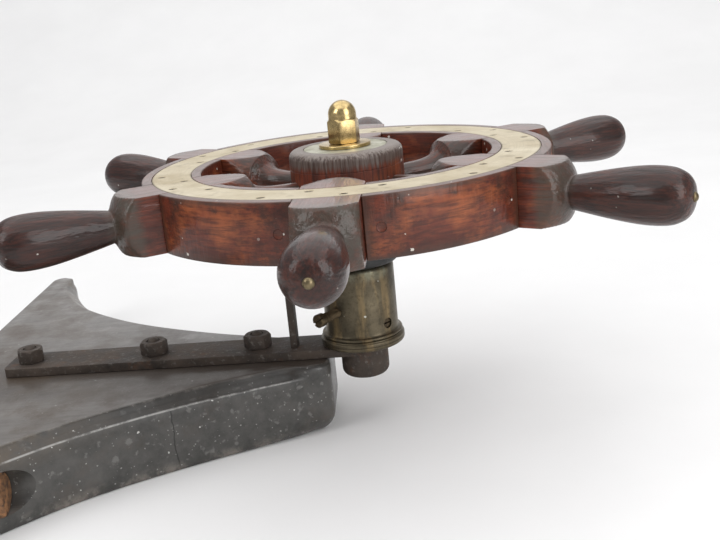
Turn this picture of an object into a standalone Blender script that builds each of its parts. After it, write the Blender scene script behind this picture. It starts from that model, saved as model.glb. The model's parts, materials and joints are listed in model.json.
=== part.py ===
"""Small-craft steering wheel, lying on the stand board that carries it.

Metres, +Z up. The origin is on the board's underside, halfway between the two strap bolts
that are nearest to the wheel. The wheel turns about a vertical axis AXIS_X further on, and
the board runs from there towards -X, where it flares into a foot. All the lengths below are
taken from the wheel's axis.
"""
import math

import bmesh
import bpy
from mathutils import Matrix, Vector

AXIS_X = 0.138              # from the origin to the wheel's axis
GAP = 0.0003                # between pieces that touch
MERGE = 0.00001
FINE = 32                   # segments round a large piece, a middling one and a small one
MEDIUM = 20
SMALL = 12
TINY = 8
RING_STEPS = 72
SPOKE_STEPS = 16

# ---- heights of the stack, from the bottom up ----
BOARD_TOP = 0.063
STRAP_THICK = 0.0075
STRAP_BOTTOM = BOARD_TOP + GAP
STRAP_TOP = STRAP_BOTTOM + STRAP_THICK
BOSS_BOTTOM = 0.042
DRUM_BOTTOM = 0.0715
DRUM_TOP = 0.142
COLLAR_BOTTOM = DRUM_TOP + GAP
HUB_BOTTOM = 0.164
COLLAR_TOP = HUB_BOTTOM - GAP
HUB_TOP = 0.239
RIM_TOP = 0.230
RIM_THICK = 0.0447
RIM_BOTTOM = RIM_TOP - RIM_THICK
SPOKE_Z = RIM_TOP - RIM_THICK / 2
WASHER_BOTTOM = HUB_TOP + GAP
WASHER_THICK = 0.0027
NUT_BOTTOM = WASHER_BOTTOM + WASHER_THICK + GAP
NUT_HEX_HEIGHT = 0.019
NUT_HEIGHT = 0.034

# ---- wheel ----
SPOKES = 6
FIRST_SPOKE = math.radians(30)
RIM_OUTER = 0.165
RIM_INNER = 0.118
RING_OUTER = 0.157
RING_INNER = 0.1258
RING_THICK = 0.0025
BLOCK_HALF = 0.023          # half the square of the spoke where it crosses the rim
HUB_R = 0.0465
PLATE_R = 0.034
PLATE_THICK = 0.0025
TENON_R = 0.007
TENON_DEPTH = 0.018
PLUG_R = 0.0035             # of the wood pellets over the rim's screws
PLUG_DEPTH = 0.006
PLUG_OFFSET = math.radians(12.2)
BUTTON_STEM_R = 0.0022
BUTTON_HEAD_R = 0.0037
BUTTON_STEM = 0.009

# ---- spindle and drum ----
SPINDLE_R = 0.008
THREAD_R = 0.0065
SPINDLE_HOLE_R = SPINDLE_R + GAP
SLEEVE_R = 0.012
SLEEVE_BORE_R = SPINDLE_R + 0.0004
SLEEVE_HOLE_R = SLEEVE_R + GAP
RECESS_R = 0.0245           # in the drum's underside, for the thrust washer
RECESS_DEPTH = 0.0025
DRUM_R = 0.0309
DRUM_FLANGE_R = 0.0357
COLLAR_R = 0.037
ANCHOR_ANGLE = math.radians(-125)
ANCHOR_Z = 0.105
ANCHOR_THREAD_R = 0.0042
ANCHOR_HEAD_R = 0.0056
ANCHOR_INNER = 0.0135
ANCHOR_NECK = 0.0485
ANCHOR_OUTER = 0.055
GRUB_ANGLE = math.radians(-40)
GRUB_Z = 0.0915
GRUB_R = 0.0042
GRUB_INNER = 0.0135
GRUB_OUTER = 0.0295

# ---- strap and its bolts ----
STRAP_HALF = 0.020
STRAP_END = -0.315
BOSS_R = 0.020
BOLT_X = (-0.092, -0.184, -0.296)
BOLT_R = 0.0055
BOLT_HOLE_R = BOLT_R + GAP
BOLT_HEAD_FLATS = 0.0208
BOLT_HEAD_TOP = 0.0087
BOLT_HEAD_BOTTOM = 0.0015
COUNTERBORE_R = 0.0145
COUNTERBORE_DEPTH = 0.009
STRAP_NUT_HEIGHT = 0.0115
BOLT_PROUD = 0.0025
KEEPER_X = -0.0592
KEEPER_Y = -0.003
KEEPER_THICK = 0.0055
KEEPER_WIDTH = 0.014
KEEPER_TOP = 0.139
KEEPER_TENON_R = 0.0024

# ---- stand board, in a frame of its own that is turned a little under the strap ----
BOARD_TURN = math.radians(3)
BOARD_OFFSET = 0.002
BOARD_FOOT = -0.372         # the wide end
BOARD_CHAMFER = 0.0095
BOARD_ROUND = 0.014         # corners of the narrow end
NOSE_ROUND = 0.014          # its bottom edge
# half outline of the flank, narrow end to toe: x and half width
FLANK = ((-0.0430, 0.0402), (-0.0600, 0.0460), (-0.0930, 0.0583), (-0.1320, 0.0745),
         (-0.1670, 0.0922), (-0.1980, 0.1100), (-0.2270, 0.1295), (-0.2540, 0.1520),
         (-0.2790, 0.1762), (-0.3005, 0.2022), (-0.3180, 0.2322), (-0.3325, 0.2650),
         (-0.3430, 0.2965), (-0.3500, 0.3090))
TOE_HALF = 0.315
TOE_ROUND = 0.011
POCKET_Y = 0.164
POCKET_Z = 0.030
POCKET_R = 0.0175
POCKET_FLOOR = -0.286
POCKET_MOUTH = -0.210
FOOT_PLUG_THICK = 0.019
FOOT_BOLT_R = 0.006
FOOT_HEAD_R = 0.0115
FOOT_HEAD_THICK = 0.008

# the spoke's turned profile from handle tip to hub: distance from the wheel's axis, radius
HANDLE_PROFILE = ((0.2815, 0.0000), (0.2807, 0.0080), (0.2780, 0.0134), (0.2735, 0.0171),
                  (0.2665, 0.0198), (0.2560, 0.0207), (0.2420, 0.0200), (0.2240, 0.0175),
                  (0.2070, 0.0145), (0.1968, 0.0126), (0.1945, 0.0142), (0.1908, 0.0216),
                  (0.1858, 0.0272), (0.1785, 0.0330))
INNER_PROFILE = ((0.1135, 0.0330), (0.1020, 0.0287), (0.0885, 0.0228), (0.0857, 0.0187),
                 (0.0830, 0.0145), (0.0775, 0.0114), (0.0680, 0.0096))


# ---------- scene, collections and materials ----------

def clear_scene():
    for old in list(bpy.data.objects):
        bpy.data.objects.remove(old, do_unlink=True)


def make_collection(name):
    collection = bpy.data.collections.new(name)
    bpy.context.scene.collection.children.link(collection)
    return collection


def make_material(name, colour, roughness, metallic):
    material = bpy.data.materials.new(name)
    material.use_nodes = True
    shader = material.node_tree.nodes["Principled BSDF"]
    shader.inputs["Base Color"].default_value = (*colour, 1.0)
    shader.inputs["Roughness"].default_value = roughness
    shader.inputs["Metallic"].default_value = metallic
    material.diffuse_color = (*colour, 1.0)
    return material


# ---------- meshes ----------

def evaluated_mesh(scratch):
    """The finished mesh of a scratch object, which is then removed."""
    bpy.context.scene.collection.objects.link(scratch)
    graph = bpy.context.evaluated_depsgraph_get()
    mesh = bpy.data.meshes.new_from_object(scratch.evaluated_get(graph))
    bpy.data.objects.remove(scratch, do_unlink=True)
    return mesh


def welded(mesh):
    cage = bmesh.new()
    cage.from_mesh(mesh)
    bmesh.ops.remove_doubles(cage, verts=cage.verts, dist=MERGE)
    cage.to_mesh(mesh)
    cage.free()
    return mesh


def turned(profile, steps):
    """Turn a profile of (radius, height) about Z: it runs down the outer side."""
    closed = profile[0] == profile[-1]
    points = profile[:-1] if closed else profile
    edges = [(i, i + 1) for i in range(len(points) - 1)]
    if closed:
        edges.append((len(points) - 1, 0))
    mesh = bpy.data.meshes.new("profile")
    mesh.from_pydata([(radius, 0.0, height) for radius, height in points], edges, [])
    scratch = bpy.data.objects.new("profile", mesh)
    screw = scratch.modifiers.new("Screw", "SCREW")
    screw.axis = "Z"
    screw.angle = 2 * math.pi
    screw.steps = steps
    screw.render_steps = steps
    screw.use_merge_vertices = True
    screw.merge_threshold = MERGE
    return welded(evaluated_mesh(scratch))


def ring(outer, inner, bottom, top, steps):
    """A plain ring with square edges."""
    corners = [(outer, top), (outer, bottom), (inner, bottom), (inner, top), (outer, top)]
    return turned(corners, steps)


def rod(radius, bottom, top, steps):
    return turned([(0.0, top), (radius, top), (radius, bottom), (0.0, bottom)], steps)


def plate(outline, bottom, top):
    """A flat plate with the given outline of (x, y) points."""
    curve = bpy.data.curves.new("outline", "CURVE")
    curve.dimensions = "2D"
    curve.fill_mode = "BOTH"
    curve.extrude = (top - bottom) / 2
    spline = curve.splines.new("POLY")
    spline.points.add(len(outline) - 1)
    for point, (x, y) in zip(spline.points, outline):
        point.co = (x, y, 0.0, 1.0)
    spline.use_cyclic_u = True
    mesh = welded(evaluated_mesh(bpy.data.objects.new("outline", curve)))
    bpy.data.curves.remove(curve)
    return moved(mesh, (0.0, 0.0, (top + bottom) / 2))


def block(size, centre):
    cage = bmesh.new()
    bmesh.ops.create_cube(cage, size=1.0)
    bmesh.ops.scale(cage, vec=size, verts=cage.verts)
    bmesh.ops.translate(cage, vec=centre, verts=cage.verts)
    mesh = bpy.data.meshes.new("block")
    cage.to_mesh(mesh)
    cage.free()
    return mesh


def hexagon(flats, bottom, top, turn=0.0):
    corner = flats / math.sqrt(3)
    angles = [turn + math.radians(60 * side) for side in range(6)]
    return plate([(corner * math.cos(a), corner * math.sin(a)) for a in angles], bottom, top)


def moved(mesh, offset):
    for vertex in mesh.vertices:
        vertex.co += Vector(offset)
    return mesh


def turned_sideways(mesh, angle):
    """Lay a mesh made along Z on its side, so that Z points out at this angle in plan."""
    out = Vector((math.cos(angle), math.sin(angle), 0.0))
    across = Vector((-math.sin(angle), math.cos(angle), 0.0))
    up = Vector((0.0, 0.0, 1.0))
    for vertex in mesh.vertices:
        x, y, z = vertex.co
        vertex.co = across * x + up * y + out * z
    return mesh


def combined(mesh, tool, operation):
    """Boolean of two meshes; both are used up."""
    base = bpy.data.objects.new("base", mesh)
    cutter = bpy.data.objects.new("cutter", tool)
    bpy.context.scene.collection.objects.link(cutter)
    boolean = base.modifiers.new("Boolean", "BOOLEAN")
    boolean.operation = operation
    boolean.solver = "EXACT"
    boolean.object = cutter
    result = evaluated_mesh(base)
    bpy.data.objects.remove(cutter, do_unlink=True)
    return result


def cut(mesh, *tools):
    for tool in tools:
        mesh = combined(mesh, tool, "DIFFERENCE")
    return mesh


def joined(mesh, *tools):
    for tool in tools:
        mesh = combined(mesh, tool, "UNION")
    return mesh


def arc(centre_r, centre_z, radius, start, end, count):
    """Points (radius, height) along an arc, with the angles in degrees from outwards."""
    points = []
    for step in range(count + 1):
        angle = math.radians(start + (end - start) * step / count)
        points.append((centre_r + radius * math.cos(angle), centre_z + radius * math.sin(angle)))
    return points


def plan_arc(radius, start, end, count):
    """Points (x, y) on a circle about the wheel's axis."""
    step = (end - start) / count
    return [(radius * math.cos(start + step * i), radius * math.sin(start + step * i))
            for i in range(count + 1)]


# ---------- objects ----------

def add_empty(name, place, parent=None):
    empty = bpy.data.objects.new(name, None)
    empty.matrix_basis = place
    empty.parent = parent
    PARTS.objects.link(empty)
    return empty


def add_part(name, mesh, material, parent, location=(0, 0, 0), turn=0.0):
    """One named piece, shaded smooth with its edges kept sharp."""
    part = bpy.data.objects.new(name, mesh)
    part.location = location
    part.rotation_euler = (0.0, 0.0, turn)
    part.parent = parent
    if not mesh.materials:
        mesh.shade_smooth()
        mesh.set_sharp_from_angle(angle=math.radians(35))
        mesh.materials.append(material)
    PARTS.objects.link(part)
    return part


def ring_groove():
    """The space that the brass ring takes out of the rim's top."""
    return ring(RING_OUTER + GAP, RING_INNER - GAP, RIM_TOP - RING_THICK - GAP, RIM_TOP + 0.01, RING_STEPS)


# ---------- the stand ----------

def flank_points():
    """The board's flank, with its points joined by a smooth curve."""
    spread = 2
    last = len(FLANK) - 1
    points = []
    for i in range(last):
        a, b, c, d = (FLANK[min(max(k, 0), last)] for k in (i - 1, i, i + 1, i + 2))
        for step in range(spread):
            t = step / spread
            points.append(tuple(
                0.5 * (2 * b[n] + (c[n] - a[n]) * t
                       + (2 * a[n] - 5 * b[n] + 4 * c[n] - d[n]) * t ** 2
                       + (3 * b[n] - a[n] - 3 * c[n] + d[n]) * t ** 3) for n in (0, 1)))
    points.append(FLANK[-1])
    return points


def toe_points():
    """The rounded toe, from the flank's end to the foot's flat end."""
    centre = (BOARD_FOOT + TOE_ROUND, TOE_HALF - TOE_ROUND)
    angles = [math.radians(80 + 25 * i) for i in range(5)]
    return [(centre[0] + TOE_ROUND * math.cos(a), centre[1] + TOE_ROUND * math.sin(a)) for a in angles]


def end_points():
    """The rounded corner of the narrow end, from the end's flat face to the flank."""
    centre = (FLANK[0][0], FLANK[0][1] - BOARD_ROUND)
    angles = [math.radians(30 * i) for i in range(3)]
    return [(centre[0] + BOARD_ROUND * math.cos(a), centre[1] + BOARD_ROUND * math.sin(a)) for a in angles]


def board_place():
    """The board's own frame: turned about the first strap bolt, and set over sideways."""
    to_bolt = Matrix.Translation((BOLT_X[0], 0, 0))
    turn = Matrix.Rotation(BOARD_TURN, 4, "Z")
    return to_bolt @ turn @ to_bolt.inverted() @ Matrix.Translation((0, BOARD_OFFSET, 0))


def board_outline():
    half = end_points() + flank_points() + toe_points()
    return half + [(x, -y) for x, y in reversed(half)]


def edges_between(cage, low, high, z):
    """The outline's edges at height z, from x = low to x = high."""
    edges = []
    for edge in cage.edges:
        corners = [vertex.co for vertex in edge.verts]
        at_height = all(abs(co.z - z) < MERGE for co in corners)
        inside = all(low - MERGE < co.x < high + MERGE for co in corners)
        outer = len(edge.link_faces) == 2 and edge.calc_face_angle() > 1.0
        if at_height and inside and outer:
            edges.append(edge)
    return edges


def soften_board(mesh):
    """Chamfer the flanks' top edges, and round the narrow end's bottom edge."""
    narrow_end = FLANK[0][0]
    cage = bmesh.new()
    cage.from_mesh(mesh)
    bmesh.ops.dissolve_limit(cage, angle_limit=math.radians(0.5), verts=cage.verts, edges=cage.edges)
    flanks = edges_between(cage, FLANK[-1][0], narrow_end, BOARD_TOP)
    bmesh.ops.bevel(cage, geom=flanks, offset=BOARD_CHAMFER, segments=1, affect="EDGES")
    nose = edges_between(cage, narrow_end, narrow_end + BOARD_ROUND, 0.0)
    bmesh.ops.bevel(cage, geom=nose, offset=NOSE_ROUND, segments=3, profile=0.5, affect="EDGES")
    cage.to_mesh(mesh)
    cage.free()
    return mesh


def stepped_cutter(*steps):
    """A turned cutter from (radius, top, bottom) steps, from the top down."""
    profile = [(0.0, steps[0][1])]
    for radius, top, bottom in steps:
        profile += [(radius, top), (radius, bottom)]
    profile.append((0.0, steps[-1][2]))
    return turned(profile, MEDIUM)


def make_board(board_frame):
    board = soften_board(plate(board_outline(), 0.0, BOARD_TOP))
    for x in BOLT_X:
        hole = stepped_cutter((BOLT_HOLE_R, BOARD_TOP + 0.01, COUNTERBORE_DEPTH),
                              (COUNTERBORE_R, COUNTERBORE_DEPTH, -0.01))
        board = cut(board, moved(hole, board_place().inverted() @ Vector((x, 0, 0))))
    head_floor = POCKET_FLOOR - FOOT_HEAD_THICK - 2 * GAP
    for side in (-1, 1):
        hole = stepped_cutter((POCKET_R, POCKET_MOUTH, POCKET_FLOOR),
                              (FOOT_HEAD_R + GAP, POCKET_FLOOR, head_floor),
                              (FOOT_BOLT_R + GAP, head_floor, BOARD_FOOT - 0.01))
        board = cut(board, moved(turned_sideways(hole, 0.0), (0, side * POCKET_Y, POCKET_Z)))
    add_part("stand_board", board, GREY_PAINT, board_frame)


def flush_cutter(side):
    """Everything outside the flank beside a pocket, in the pocket's own place."""
    near, beyond = Vector(FLANK[7]), Vector(FLANK[8])
    far = near + 2 * (beyond - near)
    corners = [near, far, Vector((near.x, far.y))]
    outline = [(corner.x, side * (corner.y - POCKET_Y)) for corner in corners]
    return plate(outline, -POCKET_R, POCKET_R)


def make_foot_bolts(board_frame):
    """A wood bung, cut off flush with the flank, over each bolt that goes out at the foot."""
    bung_back = POCKET_FLOOR + GAP
    head_back = POCKET_FLOOR - FOOT_HEAD_THICK - GAP
    for number, side in enumerate((-1, 1), start=1):
        place = (0.0, side * POCKET_Y, POCKET_Z)
        dowel = rod(POCKET_R - GAP, bung_back, bung_back + FOOT_PLUG_THICK, MEDIUM)
        bung = cut(turned_sideways(dowel, 0.0), flush_cutter(side))
        add_part(f"foot_plug_{number}", bung, BARE_WOOD, board_frame, place)
        profile = [(0.0, POCKET_FLOOR), (FOOT_HEAD_R, POCKET_FLOOR), (FOOT_HEAD_R, head_back),
                   (FOOT_BOLT_R, head_back), (FOOT_BOLT_R, BOARD_FOOT + 0.001), (0.0, BOARD_FOOT + 0.001)]
        bolt = turned_sideways(turned(profile, SMALL), 0.0)
        add_part(f"foot_bolt_{number}", bolt, RUSTY_IRON, board_frame, place)


def make_strap(root):
    """The iron strap, with the boss that is forged on its end."""
    corner = 0.006
    left = [(STRAP_END + corner - corner * math.sin(a), -STRAP_HALF + corner - corner * math.cos(a))
            for a in (math.radians(30 * i) for i in range(4))]
    outline = [(0.0, -STRAP_HALF)] + left + [(x, -y) for x, y in reversed(left)] + [(0.0, STRAP_HALF)]
    boss_r = BOSS_R + GAP
    profile = [(0.0, STRAP_TOP + GAP), (boss_r, STRAP_TOP + GAP)]
    profile += arc(boss_r - 0.006, BOSS_BOTTOM + 0.006, 0.006, 0, -90, 4)
    profile += [(0.0, BOSS_BOTTOM)]
    strap = joined(plate(outline, STRAP_BOTTOM, STRAP_TOP), turned(profile, MEDIUM))
    countersink = [(0.0, 0.1), (SPINDLE_HOLE_R, 0.1), (SPINDLE_HOLE_R, BOSS_BOTTOM + 0.004),
                   (SPINDLE_HOLE_R + 0.005, BOSS_BOTTOM - 0.001), (0.0, BOSS_BOTTOM - 0.001)]
    strap = cut(strap, turned(countersink, MEDIUM),
                moved(rod(KEEPER_TENON_R + GAP, 0.05, 0.09, SMALL), (KEEPER_X, KEEPER_Y, 0)))
    for x in BOLT_X:
        strap = cut(strap, moved(rod(BOLT_HOLE_R, 0.05, 0.09, SMALL), (x, 0, 0)))
    add_part("strap", strap, RUSTY_IRON, root)


def make_strap_bolts(root):
    nut_bottom = STRAP_TOP + GAP
    nut_top = nut_bottom + STRAP_NUT_HEIGHT
    head = hexagon(BOLT_HEAD_FLATS, BOLT_HEAD_BOTTOM, BOLT_HEAD_TOP)
    dome = arc(0.0, nut_top + BOLT_PROUD - BOLT_R, BOLT_R, 90, 30, 4)
    dome[0] = (0.0, nut_top + BOLT_PROUD)
    shank = [*dome, (BOLT_R, nut_top - 0.001), (BOLT_R, BOLT_HEAD_TOP - 0.002),
             (0.0, BOLT_HEAD_TOP - 0.002)]
    bolt = joined(head, turned(shank, SMALL))
    corner = BOLT_HEAD_FLATS / math.sqrt(3)
    rounding = [(BOLT_HOLE_R, nut_top), (BOLT_HEAD_FLATS / 2 - 0.0005, nut_top),
                (corner + 0.0001, nut_top - 0.0022), (corner + 0.0001, nut_bottom),
                (BOLT_HOLE_R, nut_bottom), (BOLT_HOLE_R, nut_top)]
    nut = combined(turned(rounding, MEDIUM),
                   hexagon(BOLT_HEAD_FLATS, nut_bottom - 0.001, nut_top + 0.001), "INTERSECT")
    for number, (x, turn) in enumerate(zip(BOLT_X, (0.15, 0.42, 0.9)), start=1):
        add_part(f"strap_bolt_{number}", bolt, RUSTY_IRON, root, (x, 0, 0), turn)
        add_part(f"strap_nut_{number}", nut, RUSTY_IRON, root, (x, 0, 0), turn)


def make_line_keeper(root):
    """The flat upright that keeps the steering line on the drum."""
    bottom = STRAP_TOP + GAP
    half = KEEPER_WIDTH / 2
    crown = arc(0.0, KEEPER_TOP - half, half, 0, 180, 6)
    outline = [(-half, bottom), (half, bottom), *crown]
    bar = plate(outline, -KEEPER_THICK / 2, KEEPER_THICK / 2)
    for vertex in bar.vertices:
        x, y, z = vertex.co
        vertex.co = (z, x, y)
    tenon = rod(KEEPER_TENON_R, STRAP_BOTTOM + GAP, bottom + 0.002, SMALL)
    add_part("line_keeper", joined(bar, tenon), RUSTY_IRON, root, (KEEPER_X, KEEPER_Y, 0))


def make_spindle(root):
    shoulder = WASHER_BOTTOM - 0.0001
    end = NUT_BOTTOM + 0.0195
    foot = BOSS_BOTTOM + GAP
    profile = [(0.0, end), (THREAD_R - 0.001, end), (THREAD_R, end - 0.001), (THREAD_R, shoulder),
               (SPINDLE_R, shoulder), (SPINDLE_R, foot + 0.0036), (SPINDLE_R + 0.0033, foot),
               (0.0, foot)]
    add_part("spindle", turned(profile, MEDIUM), STEEL, root)


def make_thrust_washer(root):
    washer = ring(RECESS_R - 2 * GAP, SLEEVE_BORE_R, STRAP_TOP + 2 * GAP,
                  DRUM_BOTTOM + RECESS_DEPTH - GAP, MEDIUM)
    add_part("thrust_washer", washer, DARK_BRONZE, root)


def make_dome_nut(root):
    top = WASHER_BOTTOM + WASHER_THICK
    edge = 0.0009
    washer_r = 0.0212
    hole = THREAD_R + GAP
    profile = [(hole, top), *arc(washer_r - edge, top - edge, edge, 90, 0, 3),
               (washer_r, WASHER_BOTTOM), (hole, WASHER_BOTTOM), (hole, top)]
    add_part("nut_washer", turned(profile, MEDIUM), BRASS, root)

    flats = 0.0252
    corner = flats / math.sqrt(3) + 0.0001
    dome_r = 0.0113
    hex_top = NUT_BOTTOM + NUT_HEX_HEIGHT
    crown = NUT_BOTTOM + NUT_HEIGHT
    blind = NUT_BOTTOM + 0.0205
    profile = arc(0.0, crown - dome_r, dome_r, 90, 0, 8)
    profile[0] = (0.0, crown)
    profile += [(dome_r, hex_top), (flats / 2 - 0.0002, hex_top), (corner, hex_top - 0.0016),
                (corner, NUT_BOTTOM), (hole, NUT_BOTTOM), (hole, blind), (0.0, blind + 0.002)]
    nut = combined(turned(profile, MEDIUM), hexagon(flats, NUT_BOTTOM - 0.001, crown + 0.001, NUT_TURN),
                   "INTERSECT")
    add_part("dome_nut", nut, BRASS, root)


# ---------- the wheel ----------

def make_hub(axis):
    bore = SLEEVE_HOLE_R
    seat = HUB_TOP - PLATE_THICK - GAP
    profile = [(bore, seat), (PLATE_R + GAP, seat), (PLATE_R + GAP, HUB_TOP)]
    profile += arc(HUB_R - 0.007, HUB_TOP - 0.007, 0.007, 90, 0, 5)
    profile += arc(HUB_R - 0.005, HUB_BOTTOM + 0.005, 0.005, 0, -90, 3)
    profile += [(bore, HUB_BOTTOM), (bore, seat)]
    hub = turned(profile, FINE)
    for spoke in range(SPOKES):
        angle = FIRST_SPOKE + spoke * 2 * math.pi / SPOKES
        mortise = rod(TENON_R + GAP, HUB_R - TENON_DEPTH, HUB_R + 0.005, SMALL)
        hub = cut(hub, moved(turned_sideways(mortise, angle), (0, 0, SPOKE_Z)))
    add_part("hub", hub, MAHOGANY, axis)
    plate_ring = ring(PLATE_R, SLEEVE_BORE_R, HUB_TOP - PLATE_THICK, HUB_TOP, FINE)
    add_part("hub_plate", plate_ring, VERDIGRIS, axis)


def make_sleeve(axis):
    top = HUB_TOP - PLATE_THICK - GAP
    sleeve = ring(SLEEVE_R, SLEEVE_BORE_R, DRUM_BOTTOM + RECESS_DEPTH + GAP, top - GAP, MEDIUM)
    add_part("bearing_sleeve", sleeve, DARK_BRONZE, axis)


def make_collar(axis):
    profile = [(SLEEVE_HOLE_R, COLLAR_TOP), (COLLAR_R, COLLAR_TOP)]
    profile += arc(COLLAR_R - 0.005, COLLAR_BOTTOM + 0.005, 0.005, 0, -90, 3)
    profile += [(SLEEVE_HOLE_R, COLLAR_BOTTOM), (SLEEVE_HOLE_R, COLLAR_TOP)]
    add_part("drum_collar", turned(profile, FINE), BLACK_PAINT, axis)


def make_drum(axis):
    profile = [(SLEEVE_HOLE_R, DRUM_TOP)]
    profile += arc(DRUM_R - 0.005, DRUM_TOP - 0.005, 0.005, 90, 0, 4)
    base = DRUM_BOTTOM
    profile += [(DRUM_R, base + 0.0130), (DRUM_R + 0.0008, base + 0.0116),
                (DRUM_R + 0.0027, base + 0.0109), (DRUM_R + 0.0033, base + 0.0096),
                (DRUM_R + 0.0030, base + 0.0088), (DRUM_R + 0.0040, base + 0.0078),
                (DRUM_FLANGE_R, base + 0.0056), (DRUM_FLANGE_R, base + 0.0030),
                (DRUM_FLANGE_R - 0.0009, base + 0.0009), (DRUM_FLANGE_R - 0.0026, base),
                (RECESS_R, base), (RECESS_R, base + RECESS_DEPTH),
                (SLEEVE_HOLE_R, base + RECESS_DEPTH), (SLEEVE_HOLE_R, DRUM_TOP)]
    anchor_hole = rod(ANCHOR_THREAD_R + GAP, SLEEVE_R - 0.002, DRUM_R + 0.01, SMALL)
    grub_hole = rod(GRUB_R + GAP, SLEEVE_R - 0.002, DRUM_R + 0.01, SMALL)
    drum = cut(turned(profile, FINE),
               moved(turned_sideways(anchor_hole, ANCHOR_ANGLE), (0, 0, ANCHOR_Z)),
               moved(turned_sideways(grub_hole, GRUB_ANGLE), (0, 0, GRUB_Z)))
    add_part("rope_drum", drum, BRONZE, axis)


def make_drum_screws(axis):
    """The slotted screw that ties the line to the drum, and the grub screw that locks it."""
    neck = ANCHOR_NECK
    head = ANCHOR_HEAD_R
    profile = [(0.0, ANCHOR_OUTER), (head - 0.001, ANCHOR_OUTER), (head, ANCHOR_OUTER - 0.001),
               (head, neck), (ANCHOR_THREAD_R, neck), (ANCHOR_THREAD_R, ANCHOR_INNER),
               (0.0, ANCHOR_INNER)]
    slot = block((2 * head + 0.002, 0.0016, 0.005), (0, 0, ANCHOR_OUTER))
    screw = cut(turned(profile, MEDIUM), slot)
    turned_sideways(screw, ANCHOR_ANGLE)
    add_part("anchor_screw", screw, BRASS, axis, (0, 0, ANCHOR_Z))

    slot = block((2 * GRUB_R + 0.002, 0.0014, 0.004), (0, 0, GRUB_OUTER))
    grub = cut(rod(GRUB_R, GRUB_INNER, GRUB_OUTER, SMALL), slot)
    turned_sideways(grub, GRUB_ANGLE)
    add_part("grub_screw", grub, STEEL, axis, (0, 0, GRUB_Z))


def spoke_mesh():
    """One spoke with its handle: turned, then left square where it crosses the rim."""
    hub_face = HUB_R + GAP
    profile = [(radius, out) for out, radius in HANDLE_PROFILE + INNER_PROFILE]
    profile += [(0.0086, hub_face), (TENON_R, hub_face), (TENON_R, hub_face - TENON_DEPTH + 2 * GAP),
                (0.0, hub_face - TENON_DEPTH + 2 * GAP)]
    square = block((2 * BLOCK_HALF, RIM_THICK, 0.4), (0, 0, 0.18))
    spoke = combined(turned(profile, SPOKE_STEPS), square, "INTERSECT")
    tip = HANDLE_PROFILE[0][0]
    spoke = cut(spoke, rod(BUTTON_STEM_R + GAP, tip - BUTTON_STEM - GAP, tip + 0.005, TINY))
    groove = moved(ring_groove(), (0, 0, -SPOKE_Z))
    for vertex in groove.vertices:
        x, y, z = vertex.co
        vertex.co = (y, z, x)
    return cut(spoke, groove)


def button_mesh():
    """The round-headed brass stud in a handle's tip."""
    tip = HANDLE_PROFILE[0][0] + 0.0001
    crown = tip + 0.0018
    profile = [(0.0, crown), (0.0016, crown - 0.0002), (0.0029, crown - 0.0009),
               (BUTTON_HEAD_R, tip + GAP / 2), (BUTTON_STEM_R, tip + GAP / 2),
               (BUTTON_STEM_R, tip - BUTTON_STEM), (0.0, tip - BUTTON_STEM)]
    return turned(profile, TINY)


def make_spokes(axis):
    spoke = spoke_mesh()
    button = button_mesh()
    for number in range(SPOKES):
        angle = FIRST_SPOKE + number * 2 * math.pi / SPOKES
        for name, mesh, material in (("spoke", spoke, MAHOGANY), ("handle_button", button, BRASS)):
            part = add_part(f"{name}_{number + 1}", mesh, material, axis, (0, 0, SPOKE_Z))
            part.rotation_euler = (math.pi / 2, 0.0, angle + math.pi / 2)


def felloe_mesh():
    """The rim's length between two spokes, for a spoke at angle 0 and the next."""
    side = BLOCK_HALF + GAP
    pitch = 2 * math.pi / SPOKES
    outer = math.asin(side / RIM_OUTER)
    inner = math.asin(side / RIM_INNER)
    outline = plan_arc(RIM_OUTER, outer, pitch - outer, 14)
    outline += plan_arc(RIM_INNER, pitch - inner, inner, 10)
    felloe = cut(plate(outline, RIM_BOTTOM, RIM_TOP), ring_groove())
    for angle in (PLUG_OFFSET, pitch - PLUG_OFFSET):
        hole = rod(PLUG_R + GAP, RIM_OUTER - PLUG_DEPTH - 2 * GAP, RIM_OUTER + 0.005, TINY)
        felloe = cut(felloe, moved(turned_sideways(hole, angle), (0, 0, SPOKE_Z)))
    return felloe


def make_rim(axis):
    pitch = 2 * math.pi / SPOKES
    felloe = felloe_mesh()
    plug = turned_sideways(rod(PLUG_R, RIM_OUTER - PLUG_DEPTH, RIM_OUTER - 0.0005, TINY), 0.0)
    for number in range(SPOKES):
        start = FIRST_SPOKE + number * pitch
        add_part(f"felloe_{number + 1}", felloe, MAHOGANY, axis, turn=start)
        for end, angle in enumerate((start + PLUG_OFFSET, start + pitch - PLUG_OFFSET), start=1):
            name = f"felloe_plug_{2 * number + end}"
            add_part(name, plug, DARK_WOOD, axis, (0, 0, SPOKE_Z), angle)
    face = ring(RING_OUTER, RING_INNER, RIM_TOP - RING_THICK, RIM_TOP, RING_STEPS)
    add_part("face_ring", face, PALE_BRASS, axis)


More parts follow.
